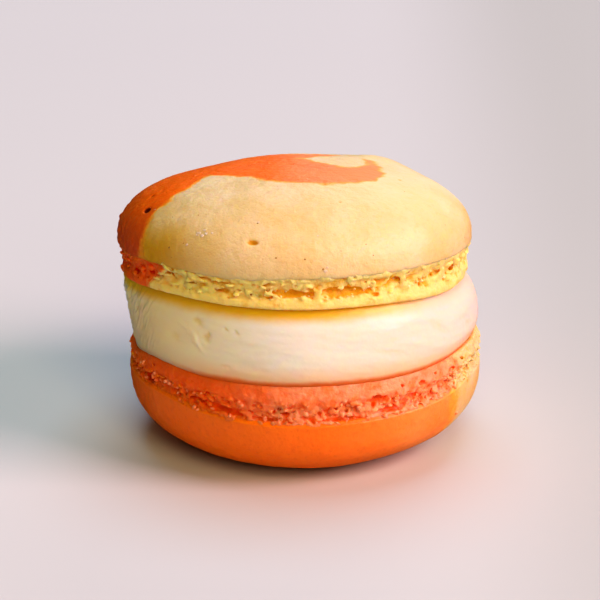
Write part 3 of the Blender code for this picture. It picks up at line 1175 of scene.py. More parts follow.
    def build_skin(self, name: str, finish: Material) -> Piece:
        """Makes the skin.

        Args:
            name: The piece's name.
            finish: Its material.

        Returns:
            The piece, which stands for the shell's CAD node.
        """
        turns = np.linspace(0.0, 360.0, self.around, endpoint=False)
        rings = turned_rings(self.skin_outline(), turns)
        mesh = closed_grid(name, (0.0, 0.0, self.top), rings, (0.0, 0.0, self.foot_height + 0.1))
        flat = points_of(mesh)
        plan = self.plan(flat)
        move_points(mesh, self.uneven(flat))
        points, normals = points_of(mesh), normals_of(mesh)
        swirl = self.swirl(plan)
        shown = smooth_step(-0.15, 0.1, flat[:, 2] - self.foot_height)
        spots = np.column_stack([self.plan(points), points[:, 2]])
        pit = sum(pit.at(spots) for pit in self.pits)
        relief = self.skin_relief(flat, swirl) * shown - pit
        self.settle(mesh, points + normals * relief[:, None])
        # painted shade on the left side, which also widens the swirl's feathered edge there
        browning = self.browning(flat)
        softness = self.swirl_softness * (1.0 + self.browned_softening * browning)
        set_values(mesh, "swirl", swirl / softness)
        set_values(mesh, "pit", pit)
        set_values(mesh, "golden", browning)
        # painted highlight on the orange
        set_values(mesh, "pale", smooth_step(*self.pale_span, plan[:, 0]))
        dress(mesh, finish)
        return add_piece(name, mesh, [self.node])

    def browning(self, points: Array) -> Array:
        """How much painted shade lies on the skin's left side, away from the key lamp, fading towards the
        top, from 0 to 1.
        """
        heights = points[:, 2] + self.browned_edge.at(points, self.seed)
        side = self.browned_share * self.side_browning(points, self.browned_reach)
        return side * smooth_step(self.top - 1.0, self.foot_height + 1.5, heights)

    def side_browning(self, points: Array, reach: float) -> Array:
        """1 at the side where the shade is painted, down to 0 at the reach from it in degrees."""
        away = np.abs(angle_between(angles_of(self.plan(points)), self.browned_angle))
        return smooth_step(reach, self.browned_core * reach, away)

    def skin_relief(self, points: Array, swirl: Array) -> Array:
        """How far the skin stands out: soft waves, and pimples and wrinkles beside the swirl."""
        rough = self.rough_side.at(angles_of(self.plan(points)))
        up = np.maximum(points[:, 2] - self.foot_height, 0.0)
        by_swirl = np.exp(-0.5 * ((swirl + self.pimples_off_swirl) / self.pimples_spread) ** 2)
        even = self.slow.at(points, self.seed) + self.small.at(points, self.seed)
        pimples = np.maximum(self.pimples.at(points, self.seed), 0.0) * by_swirl * (1.0 + rough)
        ragged = self.ragged.at(points, self.seed) * np.exp(-up / self.ragged_height)
        crumbly = self.crumbly.at(points, self.seed) * np.exp(-up / self.crumbly_height) * rough
        return even + pimples + ragged + crumbly

    def hollow_points(self) -> tuple[Array, Array]:
        """The middles of the foot's caverns in the shell's own frame, and their radii."""
        spots, reaches = [], []
        for hollow in self.foot.hollows:
            length = math.radians(abs(hollow.end - hollow.start)) * self.sole_radius
            count = max(int(length / (self.cavern_gap * hollow.reach)), 2)
            for share in np.linspace(0.0, 1.0, count):
                angle = hollow.start + share * (hollow.end - hollow.start)
                angle = math.radians(180.0 - angle if self.turned_over else angle)
                height = hollow.height + share * (hollow.end_height - hollow.height)
                radius = self.foot.radii(height) - hollow.sink
                spots.append((radius * math.cos(angle), radius * math.sin(angle), height))
                reaches.append(hollow.reach * (1.0 - self.cavern_taper * (1.0 - math.sin(math.pi * share))))
        return np.array(spots), np.array(reaches)

    def build_foot(self, name: str, half: Half, finish: Material) -> Piece:
        """Makes the front or the back of the foot.

        Args:
            name: The piece's name.
            half: Which side it is.
            finish: Its material.

        Returns:
            The piece.
        """
        foot = self.foot
        front = half is Half.FRONT
        voxel = foot.fine_voxel if front else foot.coarse_voxel
        reach = self.edge_radius + foot.room
        room = foot.room_voxels * voxel
        top = self.foot_height + foot.overlap
        sizes = {field.replace("_", " ").title(): size for field, size in vars(foot).items()}
        sizes |= {
            "Foot Height": self.foot_height,
            "Seed": tuple(self.seed * share for share in self.foam_seeds),
            "Voxel Size": voxel,
            "Low Corner": (-reach, -reach if front else foot.split - foot.split_overlap, -room),
            "High Corner": (reach, foot.split + foot.split_overlap if front else reach, top + room),
            "Finish": finish,
        }
        spots, reaches = self.hollow_points()
        start = bpy.data.meshes.new(name + "_hollows")
        start.from_pydata(spots.tolist(), [], [])
        set_values(start, "reach", reaches)
        mesh = foot.tree(name).run(start, sizes)
        self.settle_foot(mesh)
        return add_piece(name, mesh)

    def settle_foot(self, mesh: Mesh) -> None:
        """Keeps what the foot's finish reads, and puts the foot in its place in the macaron."""
        points = points_of(mesh)
        plan = self.plan(points)
        set_values(mesh, "hollow", self.foot.radii(points[:, 2]) - np.hypot(*plan.T))
        crevice = smooth_step(0.3, 0.9, points[:, 2] / self.foot_height)
        shift = self.foot_swirl_shift + self.crevice_swirl_shift * crevice
        set_values(mesh, "swirl", (self.swirl(plan) + shift) / self.swirl_softness)
        # painted shade on the foot's left side
        set_values(mesh, "golden", self.side_browning(points, self.foot_browned_reach))
        self.settle(mesh, self.uneven(points))


# ---- Crumbs and flecks


@dataclass
class Crumbs:
    """Loose bits of one kind that lie on finished pieces, most by chance and some at known spots.

    The spots are (x, y, height over the sole), each with a size in millimetres. The others lie between
    the lowest and the highest height over the sole, within a span of angles round its middle.
    """

    name: str
    slot: Slot
    shell: Shell
    per_square_mm: float
    smallest: float
    largest: float
    flatness: float
    lowest: float
    highest: float
    seed: int
    middle: float = 0.0
    span: float = 360.0
    inner_share: float = 0.6
    spots: tuple[tuple[Spot, float], ...] = ()

    def build(self, hosts: Sequence[Piece], finish: Material) -> Piece:
        """Scatters the crumbs.

        Args:
            hosts: The pieces that they lie on.
            finish: Their material.

        Returns:
            One piece with all the crumbs.
        """
        sizes = {
            "Density": self.per_square_mm / MM**2,
            "Smallest": self.smallest * MM,
            "Largest": self.largest * MM,
            "Flatness": self.flatness,
            "Seed": self.seed,
            "Finish": finish,
        }
        return add_piece(self.name, scatter_tree(self.name).run(self.ground(hosts), sizes))

    def ground(self, hosts: Sequence[Piece]) -> Mesh:
        """The faces where crumbs may lie by chance, with a loose vertex at each of the known spots."""
        points = np.concatenate([points_of(host.data) for host in hosts])
        facing = np.concatenate([normals_of(host.data) for host in hosts])
        own = transformed(points, self.shell.matrix().inverted())
        plan, heights = self.shell.plan(own), own[:, 2]
        near = np.abs(angle_between(angles_of(plan), self.middle)) < 0.5 * self.span
        near &= (heights > self.lowest) & (heights < self.highest)
        near &= np.hypot(*plan.T) > self.inner_share * self.shell.sole_radius
        faces, first = [], 0
        for host in hosts:
            faces += [[first + index for index in face.vertices] for face in host.data.polygons]
            first += len(host.data.vertices)
        faces = [face for face in faces if near[face].all()]
        places = np.column_stack([plan, heights])
        found = [int(np.argmin(((places - spot) ** 2).sum(axis=1))) for spot, _ in self.spots]
        mesh = bpy.data.meshes.new(self.name + "_ground")
        mesh.from_pydata(np.concatenate([points, points[found]]).tolist(), [], faces)
        set_values(mesh, "given", np.concatenate([np.zeros(len(points)), [size for _, size in self.spots]]))
        layer = mesh.attributes.new("facing", "FLOAT_VECTOR", "POINT")
        layer.data.foreach_set("vector", np.concatenate([facing, facing[found]]).astype(np.float32).ravel())
        return mesh


def scatter_tree(name: str) -> ShapeWiring:
    """The tree that strews crumbs over faces, and sets one at each given vertex.

    Args:
        name: The tree's name.

    Returns:
        The tree, ready to run.
    """
    tree = ShapeWiring(name)
    seed = tree.size("Seed", "Int")
    chance = tree.add("FunctionNodeRandomValue", data_type="FLOAT")
    for label, value in (("Min", tree.size("Smallest")), ("Max", tree.size("Largest")), ("Seed", seed)):
        tree.feed(next(socket for socket in chance.inputs if socket.name == label and socket.enabled), value)
    by_chance = Value(tree, next(socket for socket in chance.outputs if socket.enabled))
    ground = {"Mesh": tree.given, "Density": tree.size("Density"), "Seed": seed}
    strewn = tree.make("GeometryNodeDistributePointsOnFaces", ground, "Points")
    given = tree.kept("given")
    chosen = {"Mesh": tree.given, "Selection": tree.math("GREATER_THAN", given, 0.0)}
    placed = tree.make("GeometryNodeMeshToPoints", chosen, "Points")
    both = tree.add("GeometryNodeJoinGeometry")
    for points, size in ((strewn, by_chance), (placed, given * MM)):
        kept = {"Geometry": points, "Name": "crumb_size", "Value": size}
        sized = tree.make("GeometryNodeStoreNamedAttribute", kept, data_type="FLOAT", domain="POINT")
        tree.feed(both.inputs["Geometry"], sized)

    facing = tree.kept("facing", "FLOAT_VECTOR")
    across = tree.kept("crumb_size")
    crumbs = {
        "Points": Value(tree, both.outputs[0]),
        "Instance": tree.make("GeometryNodeMeshIcoSphere", {"Radius": 1.0, "Subdivisions": 2}, "Mesh"),
        "Rotation": tree.make("FunctionNodeAlignRotationToVector", {"Vector": facing}, axis="Z"),
        "Scale": tree.joined(across * 1.25, across, across * tree.size("Flatness")),
    }
    whole = {"Geometry": tree.make("GeometryNodeInstanceOnPoints", crumbs)}
    real = tree.make("GeometryNodeRealizeInstances", whole)
    push = (tree.cloud(tree.spot, 3.5 / MM, 1.0) - 0.5) * 1.8 * across
    outward = tree.vector("SCALE", tree.make("GeometryNodeInputNormal"), push)
    tree.end(tree.make("GeometryNodeSetPosition", {"Geometry": real, "Offset": outward}))
    return tree


# ---- Filling


@dataclass(frozen=True)
class Dimple:
    """A small dent in the filling's side, or a ridge if the depth is negative."""

    angle: float
    share: float
    width: float
    height: float
    depth: float
    slant: float = 0.0

    def at(self, along: Array, shares: Array, girth: float, tall: Array) -> Array:
        """How deep each place lies in the dimple, from its angle and its share of the height."""
        across = np.radians(angle_between(along, self.angle)) * girth
        up = (shares - self.share) * tall
        turn = math.radians(self.slant)
        wide = (across * math.cos(turn) + up * math.sin(turn)) / self.width
        high = (up * math.cos(turn) - across * math.sin(turn)) / self.height
        return self.depth * np.exp(-(wide**2 + high**2))


@dataclass
class Filling:
    """The buttercream, which bulges between the two rims."""

    lower: Shell
    upper: Shell
    node: str = "filling"
    lower_inset: float = 0.12
    upper_inset: float = 0.95
    belly: float = 1.05
    belly_squareness: float = 2.6
    wave: float = 0.16
    wave_turns: float = 2.4
    seed: float = 21.9
    overlap: float = 0.12
    around: int = 760
    up: int = 84
    hidden_shares: tuple[float, ...] = (0.5, 0.85)
    belly_swells: tuple[Swell, ...] = (Swell(-2, 26, 0.75), Swell(-176, 24, -1.1), Swell(95, 34, -0.4))
    upper_swells: tuple[Swell, ...] = (Swell(-174, 20, 1.0),)
    lower_swells: tuple[Swell, ...] = (Swell(-2, 24, -0.7),)
    smear: Grain = Grain(1.5, 0.07, 4.0)
    fine: Grain = Grain(0.8, 0.016, 9.0)
    drag: Grain = Grain(0.42, 1.0, 2.0)
    drag_depths: Span = (0.25, 0.75)
    marks_squareness: float = 6.0
    dragged_side: Swell = Swell(-172, 13, 1.0)
    dent_edge_along: Grain = Grain(0.9, 0.3, 31.3)
    dent_edge_up: Grain = Grain(0.8, 0.03, 47.1)
    dimples: tuple[Dimple, ...] = (
        Dimple(-133.0, 0.45, 0.9, 0.7, 0.15), Dimple(-124.0, 0.73, 0.8, 0.5, 0.2, -25),
        Dimple(-120.3, 0.57, 0.5, 0.7, 0.22), Dimple(-124.6, 0.47, 0.4, 1.3, -0.24, 32),
        Dimple(-129.0, 0.62, 1.2, 0.35, -0.12, -20), Dimple(-113.5, 0.70, 0.3, 0.25, 0.18),
        Dimple(-110.0, 0.66, 0.4, 0.3, 0.15), Dimple(-115.0, 0.22, 0.6, 0.3, 0.1),
        Dimple(-60.0, 0.36, 3.2, 0.5, 0.09, -14), Dimple(-50.0, 0.42, 2.6, 0.45, -0.07, -20),
        Dimple(-40.0, 0.55, 2.4, 0.8, 0.1, -30), Dimple(-22.0, 0.4, 2.0, 0.9, 0.1, -25),
        Dimple(-105.0, 0.3, 5.0, 0.8, 0.06, 5), Dimple(40.0, 0.5, 3.0, 0.7, 0.1, 15),
        Dimple(110.0, 0.45, 4.0, 0.6, 0.1, -8), Dimple(165.0, 0.5, 2.0, 0.6, 0.12, 20),
    )

    def sole_height(self, shell: Shell, plan: Array) -> Array:
        """The height of the shell's sole over or under places on the floor."""
        normal = (shell.matrix().to_3x3() @ Vector((0.0, 0.0, 1.0))).normalized()
        away = plan - shell.axis
        level = shell.place.z - (normal.x * away[:, 0] + normal.y * away[:, 1]) / normal.z
        return level + math.copysign(1.0, normal.z) * shell.lip_rise(angles_of(away), np.hypot(*away.T))

    def side(self, angles: Array, shares: Array) -> Array:
        """Places of the filling's side in plan, for angles and shares of its height."""
        direction = directions(angles)
        bulge = 1.0 - np.abs(2.0 * shares - 1.0) ** self.belly_squareness
        belly = (self.belly + total(self.belly_swells, angles)) * bulge
        wave = self.wave * bulge * ring_noise(angles, shares, self.wave_turns, self.seed)
        low_reach = self.lower.sole_radius - self.lower_inset + total(self.lower_swells, angles)
        high_reach = self.upper.sole_radius - self.upper_inset + total(self.upper_swells, angles)
        low = self.lower.axis + direction * low_reach[:, None]
        high = self.upper.axis + direction * high_reach[:, None]
        return low + (high - low) * shares[:, None] + direction * (belly + wave)[:, None]

    def dents(self, angles: Array, shares: Array, tall: Array) -> Array:
        """How deep each place of the side lies in a dent, negative on a ridge."""
        girth = self.lower.sole_radius
        spots = on_sheet(np.radians(angles) * girth, shares * tall)
        angles = angles + np.degrees(self.dent_edge_along.at(spots) / girth)
        shares = shares + self.dent_edge_up.at(spots)
        return sum(dimple.at(angles, shares, girth, tall) for dimple in self.dimples)

    def marks(self, angles: Array, shares: Array, tall: Array) -> Array:
        """How far the cream's side stands out where it was spread, dragged and dented."""
        along = np.radians(angles) * self.lower.sole_radius
        up = shares * tall
        smear = self.smear.at(on_sheet(along * 0.28 + up * 0.25, up))
        fine = self.fine.at(on_sheet(along * 0.5, up * 1.2))
        ridges = self.drag.at(on_sheet(along - 0.8 * up, up * 0.18))
        low, high = self.drag_depths
        drags = (low + (high - low) * shares) * self.dragged_side.at(angles) * ridges
        off_rims = 1.0 - np.abs(2.0 * shares - 1.0) ** self.marks_squareness
        return off_rims * (smear + fine + drags - self.dents(angles, shares, tall))

    def build(self, finish: Material) -> Piece:
        """Makes the filling, which stands for its CAD node."""
        angles = np.tile(np.linspace(-180.0, 180.0, self.around, endpoint=False), self.up)
        shares = np.repeat(np.linspace(1.0, 0.0, self.up), self.around)
        plan = self.side(angles, shares)
        low = self.sole_height(self.lower, plan) - self.overlap
        high = self.sole_height(self.upper, plan) + self.overlap
        plan = plan + directions(angles) * self.marks(angles, shares, high - low)[:, None]
        heights = low + shares * (high - low)
        rings = np.column_stack([plan, heights]).reshape(self.up, self.around, 3)
        rings = np.concatenate([self.inner_rings(rings[0], self.upper), rings])
        rings = np.concatenate([rings, self.inner_rings(rings[-1], self.lower)[::-1]])
        mesh = closed_grid("buttercream", self.middle(self.upper), rings, self.middle(self.lower))
        flat = points_of(mesh)
        low = self.sole_height(self.lower, flat[:, :2])
        high = self.sole_height(self.upper, flat[:, :2])
        shares = (flat[:, 2] - low) / (high - low)
        set_values(mesh, "share", shares)
        set_values(mesh, "dent", self.dents(angles_of(flat), shares, high - low))
        move_points(mesh, flat * MM)
        dress(mesh, finish)
        return add_piece("buttercream", mesh, [self.node])

    def middle(self, shell: Shell) -> Spot:
        """The hidden middle of the filling's face against a shell."""
        return (*shell.axis, self.sole_height(shell, shell.axis[None])[0])

    def inner_rings(self, rim: Array, shell: Shell) -> Array:
        """Rings from near that hidden middle out towards the face's rim."""
        found = []
        for share in self.hidden_shares:
            plan = shell.axis + share * (rim[:, :2] - shell.axis)
            found.append(np.column_stack([plan, self.sole_height(shell, plan)]))
        return np.array(found)


# ---- Studio


@dataclass(frozen=True)
class Lamp:
    """A square soft light at an angle round the macaron and an elevation, in metres and watts.

    Only a lamp that shines is seen in the gloss of a surface.
    """

    name: str
    angle: float
    elevation: float
    distance: float
    size: float
    power: float
    color: Color
    shines: bool = False


@dataclass(frozen=True)
class Studio:
    """A pale floor with painted shade on its right, a broad soft light from the right, a pale surround and
    the camera.
    """

    distance: float = 0.4
    elevation: float = 20.0
    aim_share: float = 0.4858
    frame_width: float = 0.07843
    sensor: float = 36.0
    floor_reach: float = 3.0
    floor_color: Color = (0.555, 0.51, 0.46)
    shaded_floor: Color = (0.47, 0.435, 0.38)
    shaded_span: Span = (0.012, 0.05)
    floor_mottling: float = 1.03
    floor_patch_scale: float = 6.0
    floor_roughness: float = 0.5
    floor_gap: float = 0.00002
    surround: Color = (1.0, 0.95, 0.9)
    surround_strength: float = 0.02
    lamps: tuple[Lamp, ...] = (
        Lamp("key", -22.0, 33.0, 3.0, 1.5, 97.0, (1.0, 0.71, 0.82), True),
        Lamp("fill", -80.0, 35.0, 2.6, 1.4, 36.0, (1.0, 0.93, 0.60)),
        Lamp("overhead", 80.0, 72.0, 2.2, 1.6, 37.0, (0.46, 0.70, 1.0)),
        Lamp("window", 76.0, 24.0, 3.0, 1.2, 15.0, (1.0, 0.88, 0.80), True),
    )

    def build(self) -> None:
        """Makes the floor, the lights, the surround and the camera."""
        self.build_floor()
        self.build_surround()
        low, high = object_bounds()
        middle = 0.5 * (low + high)
        for lamp in self.lamps:
            self.add_light(lamp, middle)
        self.build_camera(low, high)

    def build_floor(self) -> None:
        """A smooth pale table, larger than any view of it, with painted shade on its right."""
        reach = self.floor_reach
        corners = [(-reach, -reach, 0.0), (reach, -reach, 0.0), (reach, reach, 0.0), (-reach, reach, 0.0)]
        mesh = bpy.data.meshes.new("floor")
        mesh.from_pydata(corners, [], [(0, 1, 2, 3)])
        wiring = SurfaceWiring("floor")
        x, _, _ = wiring.parts(wiring.spot)
        lighter = tuple(self.floor_mottling * share for share in self.floor_color)
        tint = wiring.blend(wiring.cloud(wiring.spot, self.floor_patch_scale), self.floor_color, lighter)
        # painted shade: the floor darkens towards the right of the macaron
        tint = wiring.blend(wiring.step(x, *self.shaded_span), tint, self.shaded_floor)
        inputs = {"Base Color": tint, "Roughness": self.floor_roughness, "Specular IOR Level": 0.0}
        dress(mesh, wiring.finish(inputs))
        floor = bpy.data.objects.new("floor", mesh)
        floor.location.z = -self.floor_gap
        floor.visible_glossy = False
        bpy.context.scene.collection.objects.link(floor)
        floor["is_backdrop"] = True

    def build_surround(self) -> None:
        """An even pale light from all round."""
        world = bpy.data.worlds.new("surround")
        world.use_nodes = True
        ground = world.node_tree.nodes["Background"]
        ground.inputs["Color"].default_value = (*self.surround, 1.0)
        ground.inputs["Strength"].default_value = self.surround_strength
        world.cycles_visibility.glossy = False
        bpy.context.scene.world = world

    def add_light(self, lamp: Lamp, aim: Vector) -> None:
        """Hangs a lamp so that it faces the aim."""
        light = bpy.data.lights.new(lamp.name, "AREA")
        light.size = lamp.size
        light.energy = lamp.power
        light.color = lamp.color
        turn, rise = math.radians(lamp.angle), math.radians(lamp.elevation)
        away = Vector((math.cos(turn) * math.cos(rise), math.sin(turn) * math.cos(rise), math.sin(rise)))
        holder = bpy.data.objects.new(lamp.name, light)
        holder.location = aim + lamp.distance * away
        holder.rotation_euler = away.to_track_quat("Z", "Y").to_euler()
        holder.visible_glossy = lamp.shines
        holder.visible_camera = False
        bpy.context.scene.collection.objects.link(holder)

    def build_camera(self, low: Vector, high: Vector) -> None:
        """A long lens in front of the macaron, a little above it."""
        aim = Vector((0.5 * (low.x + high.x), 0.5 * (low.y + high.y), self.aim_share * high.z))
        tilt = math.radians(self.elevation)
        lens = bpy.data.cameras.new("camera")
        lens.sensor_width = self.sensor
        lens.lens = self.sensor * self.distance / self.frame_width
        lens.clip_end = 100.0
        camera = bpy.data.objects.new("camera", lens)
        camera.location = aim + self.distance * Vector((0.0, -math.cos(tilt), math.sin(tilt)))
        camera.rotation_euler = (0.5 * math.pi - tilt, 0.0, 0.0)
        bpy.context.scene.collection.objects.link(camera)
        bpy.context.scene.camera = camera


# ---- The macaron's own sizes


LOWER_BATTER = BatterColors(
    orange=(1.0, 0.18, 0.0005),
    # painted reflection of the lit floor on the lower shell's orange
    pale_orange=(0.97, 0.27, 0.055),
    yellow=(0.78, 0.46, 0.15),
    yellow_foam=(0.84, 0.49, 0.21),
    # painted shade in the lower foot's hollows and caverns
    yellow_hollow=(0.62, 0.34, 0.02),
    orange_hollow=(1.0, 0.125, 0.001),
    orange_cavern=(0.58, 0.032, 0.001),
)

TOP_FOOT = FoamFoot(
    outline=(
        (0.0, 21.95), (0.15, 22.3), (0.45, 22.45), (0.95, 22.4), (1.35, 22.1),
        (2.0, 21.9), (2.7, 22.1), (3.3, 22.5), (3.95, 22.8), (4.55, 22.5),
    ),
    lip_height=0.8,
    lip_fade=0.6,
    relief=1.5,
    fine_relief=0.32,
    pore_spacing=1.9,
    pore_reach=0.62,
    small_pore_spacing=0.9,
    small_pore_reach=0.27,
    pore_depth=0.8,
    small_pore_depth=0.4,
    hollow_depth=1.25,
    nodule_spacing=1.6,
    nodule_reach=0.62,
    hollows=(
        Hollow(-137, -131, 2.95, 3.25, 0.3), Hollow(-128, -124, 2.6, 2.3, 0.3),
        Hollow(-121, -111, 3.35, 3.05, 0.45), Hollow(-117, -113.5, 1.9, 2.1, 0.3),
        Hollow(-105.5, -104, 1.9, 1.9, 0.33), Hollow(-100.5, -97.5, 3.35, 3.3, 0.4),
        Hollow(-97, -84, 2.1, 1.85, 0.5), Hollow(-80.5, -67, 2.15, 2.0, 0.68),
        Hollow(-65, -60, 2.8, 2.9, 0.4), Hollow(-58, -53, 2.7, 2.9, 0.45),
        Hollow(-50, -47.5, 2.5, 2.4, 0.3), Hollow(-46, -42.5, 2.1, 2.2, 0.36),
        Hollow(-38.5, -34, 2.5, 2.65, 0.42), Hollow(-28, -26, 2.4, 2.4, 0.42),
        Hollow(-20, -18, 2.5, 2.6, 0.42),
    ),
)

BOTTOM_FOOT = FoamFoot(
    outline=(
        (0.0, 22.25), (0.2, 22.4), (1.0, 22.65), (1.7, 22.8), (2.2, 22.65),
        (3.0, 22.3), (3.6, 22.25), (4.1, 22.55), (4.6, 22.8), (5.1, 22.5),
    ),
    lip_height=1.35,
    lip_fade=0.8,
    relief=1.4,
    fine_relief=0.7,
    pore_spacing=1.5,
    pore_reach=0.45,
    small_pore_spacing=0.8,
    small_pore_reach=0.28,
    pore_depth=0.85,
    small_pore_depth=0.45,
    hollow_depth=1.3,
    nodule_spacing=1.15,
    nodule_reach=0.56,
    hollows=(
        Hollow(-173, -166, 2.9, 3.6, 0.3), Hollow(-172, -169, 1.3, 1.8, 0.3),
        Hollow(-166, -164, 0.8, 1.2, 0.24), Hollow(-160, -157, 1.2, 1.6, 0.26),
        Hollow(-150, -148, 0.9, 1.2, 0.2), Hollow(-58, -56.5, 1.0, 1.3, 0.22),
        Hollow(-51, -48, 1.4, 1.7, 0.32), Hollow(-44, -42.5, 0.9, 1.2, 0.26),
        Hollow(-36, -33, 1.3, 1.7, 0.34), Hollow(-28, -26, 0.9, 1.3, 0.26),
        Hollow(-163, -159, 2.4, 3.0, 0.28), Hollow(-155, -150, 3.4, 3.9, 1.05, 0.35),
        Hollow(-146, -141, 2.3, 2.7, 0.26), Hollow(-137, -124, 3.5, 3.6, 0.3),
        Hollow(-126, -111, 3.6, 3.95, 0.5), Hollow(-108, -99, 4.1, 4.2, 0.3),
        Hollow(-84, -70, 4.15, 4.4, 0.36), Hollow(-69, -64, 2.2, 2.3, 0.7),
        Hollow(-66, -56, 3.95, 3.9, 0.42), Hollow(-54, -51, 2.9, 2.8, 0.4),
        Hollow(-37, -33, 2.9, 3.1, 0.4), Hollow(-23.5, -21.5, 3.6, 3.7, 0.45),
    ),
)

TOP_STROKES = (
    Stroke((
        (-26.0, -5.0, 10.0), (-17.3, -1.5, 6.0), (-11.5, 1.2, 4.0), (-5.5, 0.6, 5.9), (0.5, -3.6, 5.6),
        (4.5, -5.2, 4.1), (8.0, -3.8, 2.9), (9.8, 0.2, 1.3), (10.2, 3.6, 0.7), (9.2, 6.2, 0.35),
    )),
    Stroke(((-23.0, 6.0, 8.5), (-12.0, 6.5, 6.5), (-4.0, 6.0, 4.5), (2.5, 8.0, 1.4), (5.5, 8.6, 0.45))),
)

BOTTOM_STROKES = (
    Stroke((
        (27.0, -3.4, 12.3), (21.5, 1.0, 10.7), (16.0, 5.5, 7.4), (8.5, 8.0, 5.2), (1.0, 6.5, 3.8),
        (-3.0, 1.0, 2.6), (-1.0, -4.5, 1.5), (3.5, -6.0, 0.6),
    )),
)


def top_shell() -> Shell:
    """The upper shell, yellow with an orange swirl."""
    return Shell(
        node="top_shell",
        slot=Slot.YELLOW_SHELL,
        sole_radius=22.1,
        edge_radius=22.9,
        foot_height=3.95,
        widest_radius=22.95,
        widest_height=4.5,
        dome_height=9.2,
        dome_fullness=2.33,
        lean=-6.0,
        turned_over=False,
        seed=3.7,
        lip_swells=(
            Swell(-136, 17, 0.45), Swell(-92, 15, -0.12), Swell(-30, 14, -0.45),
            Swell(-3, 9, 0.3), Swell(62, 20, -0.25), Swell(128, 22, 0.3),
        ),
        edge_swells=(
            Swell(-140, 10, 0.2), Swell(-108, 9, -0.3), Swell(-45, 14, 0.2),
            Swell(-14, 10, 0.25), Swell(70, 16, 0.3), Swell(150, 14, -0.3),
        ),
        dome_lumps=(Lump(43, 16.0, 2.8, 0.75), Lump(139, 15.5, 5.0, -0.45), Lump(-60, 9.0, 6.0, 0.15)),
        strokes=TOP_STROKES,
        strokes_are_orange=True,
        swirl_softness=0.5,
        foot_swirl_shift=1.4,
        crevice_swirl_shift=2.8,
        pits=(
            Pit((-18.7, -8.0, 9.5), 0.42, 0.4, 1.5),
            Pit((-18.1, -4.5, 10.5), 0.25, 0.2),
            Pit((-5.1, -21.0, 8.2), 0.3, 0.35, 2.3),
            Pit((13.5, -3.4, 12.4), 0.22, 0.18),
            Pit((5.7, -14.5, 11.9), 0.22, 0.16),
            Pit((-22.9, -2.6, 7.6), 0.45, -0.28),
            Pit((-23.0, -3.4, 5.9), 0.5, -0.36),
            Pit((-22.7, -5.2, 4.9), 0.45, -0.3),
            Pit((-21.9, -5.0, 9.3), 0.4, -0.2),
            Pit((-22.9, 1.5, 6.7), 0.5, -0.3),
        ),
        foot=TOP_FOOT,
    )


def bottom_shell() -> Shell:
    """The lower shell, orange with a yellow swirl, lying on its dome."""
    return Shell(
        node="bottom_shell",
        slot=Slot.ORANGE_SHELL,
        sole_radius=22.3,
        edge_radius=22.8,
        foot_height=4.5,
        widest_radius=22.95,
        widest_height=4.75,
        dome_height=10.3,
        dome_fullness=2.9,
        lean=1.9,
        turned_over=True,
        seed=11.3,
        lip_swells=(
            Swell(0, 11, 0.75), Swell(-80, 18, -0.2), Swell(-126, 14, 0.12),
            Swell(-175, 14, 2.0), Swell(-215, 20, 0.3), Swell(-290, 22, -0.3),
        ),
        edge_swells=(
            Swell(-142, 9, -0.45), Swell(-95, 16, 0.35), Swell(-22, 9, -0.7),
            Swell(-230, 20, 0.35), Swell(-300, 18, -0.3),
        ),
        dome_lumps=(Lump(-50, 19.0, 5.0, -0.2), Lump(120, 14.0, 7.0, 0.2)),
        strokes=BOTTOM_STROKES,
        strokes_are_orange=False,
        swirl_softness=1.5,
        foot_swirl_shift=0.9,
        crevice_swirl_shift=0.0,
        # little painted shade on the lower shell's left side
        browned_share=0.1,
        # painted reflection of the lit floor on the lower shell's right side
        pale_span=(2.0, 17.0),
        pits=(Pit((20.6, -9.2, 4.6), 0.4, 0.3),),
        foot=BOTTOM_FOOT,
    )


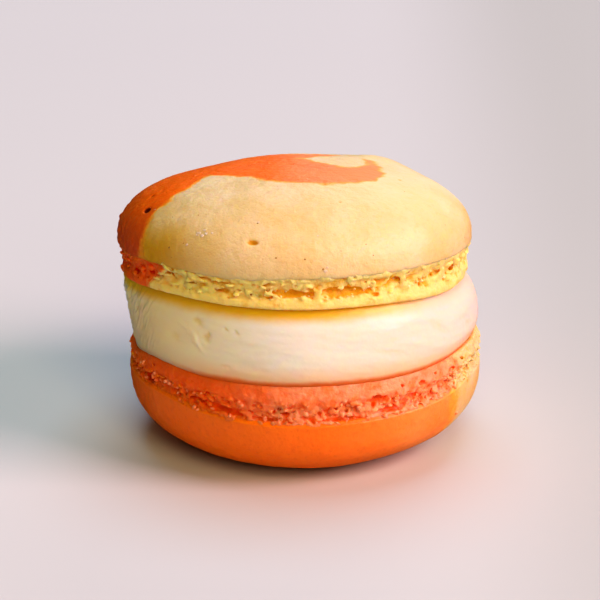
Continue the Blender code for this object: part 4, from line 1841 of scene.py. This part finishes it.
def loose_bits(top: Shell, bottom: Shell) -> list[tuple[Crumbs, CrumbFinish]]:
    """The crumbs, specks and flakes on the two shells, each kind with its finish."""
    specks = Crumbs(
        "almond_specks", Slot.YELLOW_SHELL, top, per_square_mm=0.02, smallest=0.04, largest=0.09,
        flatness=0.45, lowest=4.6, highest=13.5, seed=11,
        spots=(
            ((-15.6, -16.5, 6.5), 0.11), ((-4.5, -18.8, 10.2), 0.09), ((-2.2, -22.5, 6.6), 0.1),
            ((1.3, -22.7, 6.4), 0.1), ((3.5, -22.6, 5.2), 0.12), ((9.0, -20.5, 8.0), 0.08),
        ),
    )
    flakes = Crumbs(
        "pale_flakes", Slot.YELLOW_SHELL, top, per_square_mm=0.004, smallest=0.05, largest=0.12,
        flatness=0.14, lowest=4.6, highest=13.0, seed=23,
        spots=(
            ((3.9, -22.6, 5.1), 0.2), ((4.1, -22.5, 5.35), 0.14), ((-11.9, -18.0, 8.7), 0.3),
            ((-11.4, -18.3, 8.4), 0.22), ((-10.8, -18.2, 8.8), 0.2), ((-11.1, -17.8, 9.1), 0.17),
            ((-10.1, -18.4, 8.9), 0.14), ((-13.2, -17.6, 7.0), 0.16), ((19.1, -12.7, 4.2), 0.2),
        ),
    )
    yellow = Crumbs(
        "yellow_crumbs", Slot.YELLOW_SHELL, top, per_square_mm=0.2, smallest=0.08, largest=0.2,
        flatness=0.8, lowest=1.2, highest=3.1, seed=5, middle=20.0, span=280.0,
    )
    orange = Crumbs(
        "orange_crumbs", Slot.ORANGE_SHELL, bottom, per_square_mm=0.3, smallest=0.1, largest=0.28,
        flatness=0.8, lowest=1.9, highest=4.8, seed=8, middle=190.0, span=262.0,
        spots=(((-17.5, -14.8, 3.0), 0.3), ((19.0, -12.2, 4.2), 0.28), ((19.3, -11.2, 8.1), 0.24)),
    )
    colors = BatterColors()
    return [
        (specks, CrumbFinish("almond_speck", (0.30, 0.13, 0.035), (0.46, 0.22, 0.05))),
        (flakes, CrumbFinish("pale_flake", (0.80, 0.56, 0.40), (0.76, 0.52, 0.34))),
        (yellow, CrumbFinish("yellow_crumb", (0.93, 0.70, 0.34), colors.yellow_foam)),
        (orange, CrumbFinish("orange_crumb", (0.94, 0.33, 0.17), colors.orange_foam)),
    ]


def main() -> None:
    """Builds the macaron and its studio."""
    logging.basicConfig(level=logging.INFO, format="%(relativeCreated)6d ms %(name)s: %(message)s")
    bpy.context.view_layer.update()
    bpy.context.scene.view_settings.view_transform = "Standard"
    bpy.context.scene.view_settings.look = "Medium High Contrast"
    Studio().build()
    top = top_shell()
    bottom = bottom_shell()
    pieces = {}
    for shell, colors, shine in ((top, BatterColors(), 0.6), (bottom, LOWER_BATTER, 0.5)):
        skin = SkinFinish(shell.slot.value + "_skin", colors, specular=shine).build()
        foam = FootFinish(shell.slot.value + "_foot", colors).build()
        pieces[shell.node] = [shell.build_skin(shell.node + "_skin", skin)]
        for half in Half:
            pieces[shell.node].append(shell.build_foot(f"{shell.node}_foot_{half.value}", half, foam))
    Filling(bottom, top).build(ButtercreamFinish().build())
    for crumbs, finish in loose_bits(top, bottom):
        crumbs.build(pieces[crumbs.shell.node], finish.build())


if __name__ == "__main__":
    main()
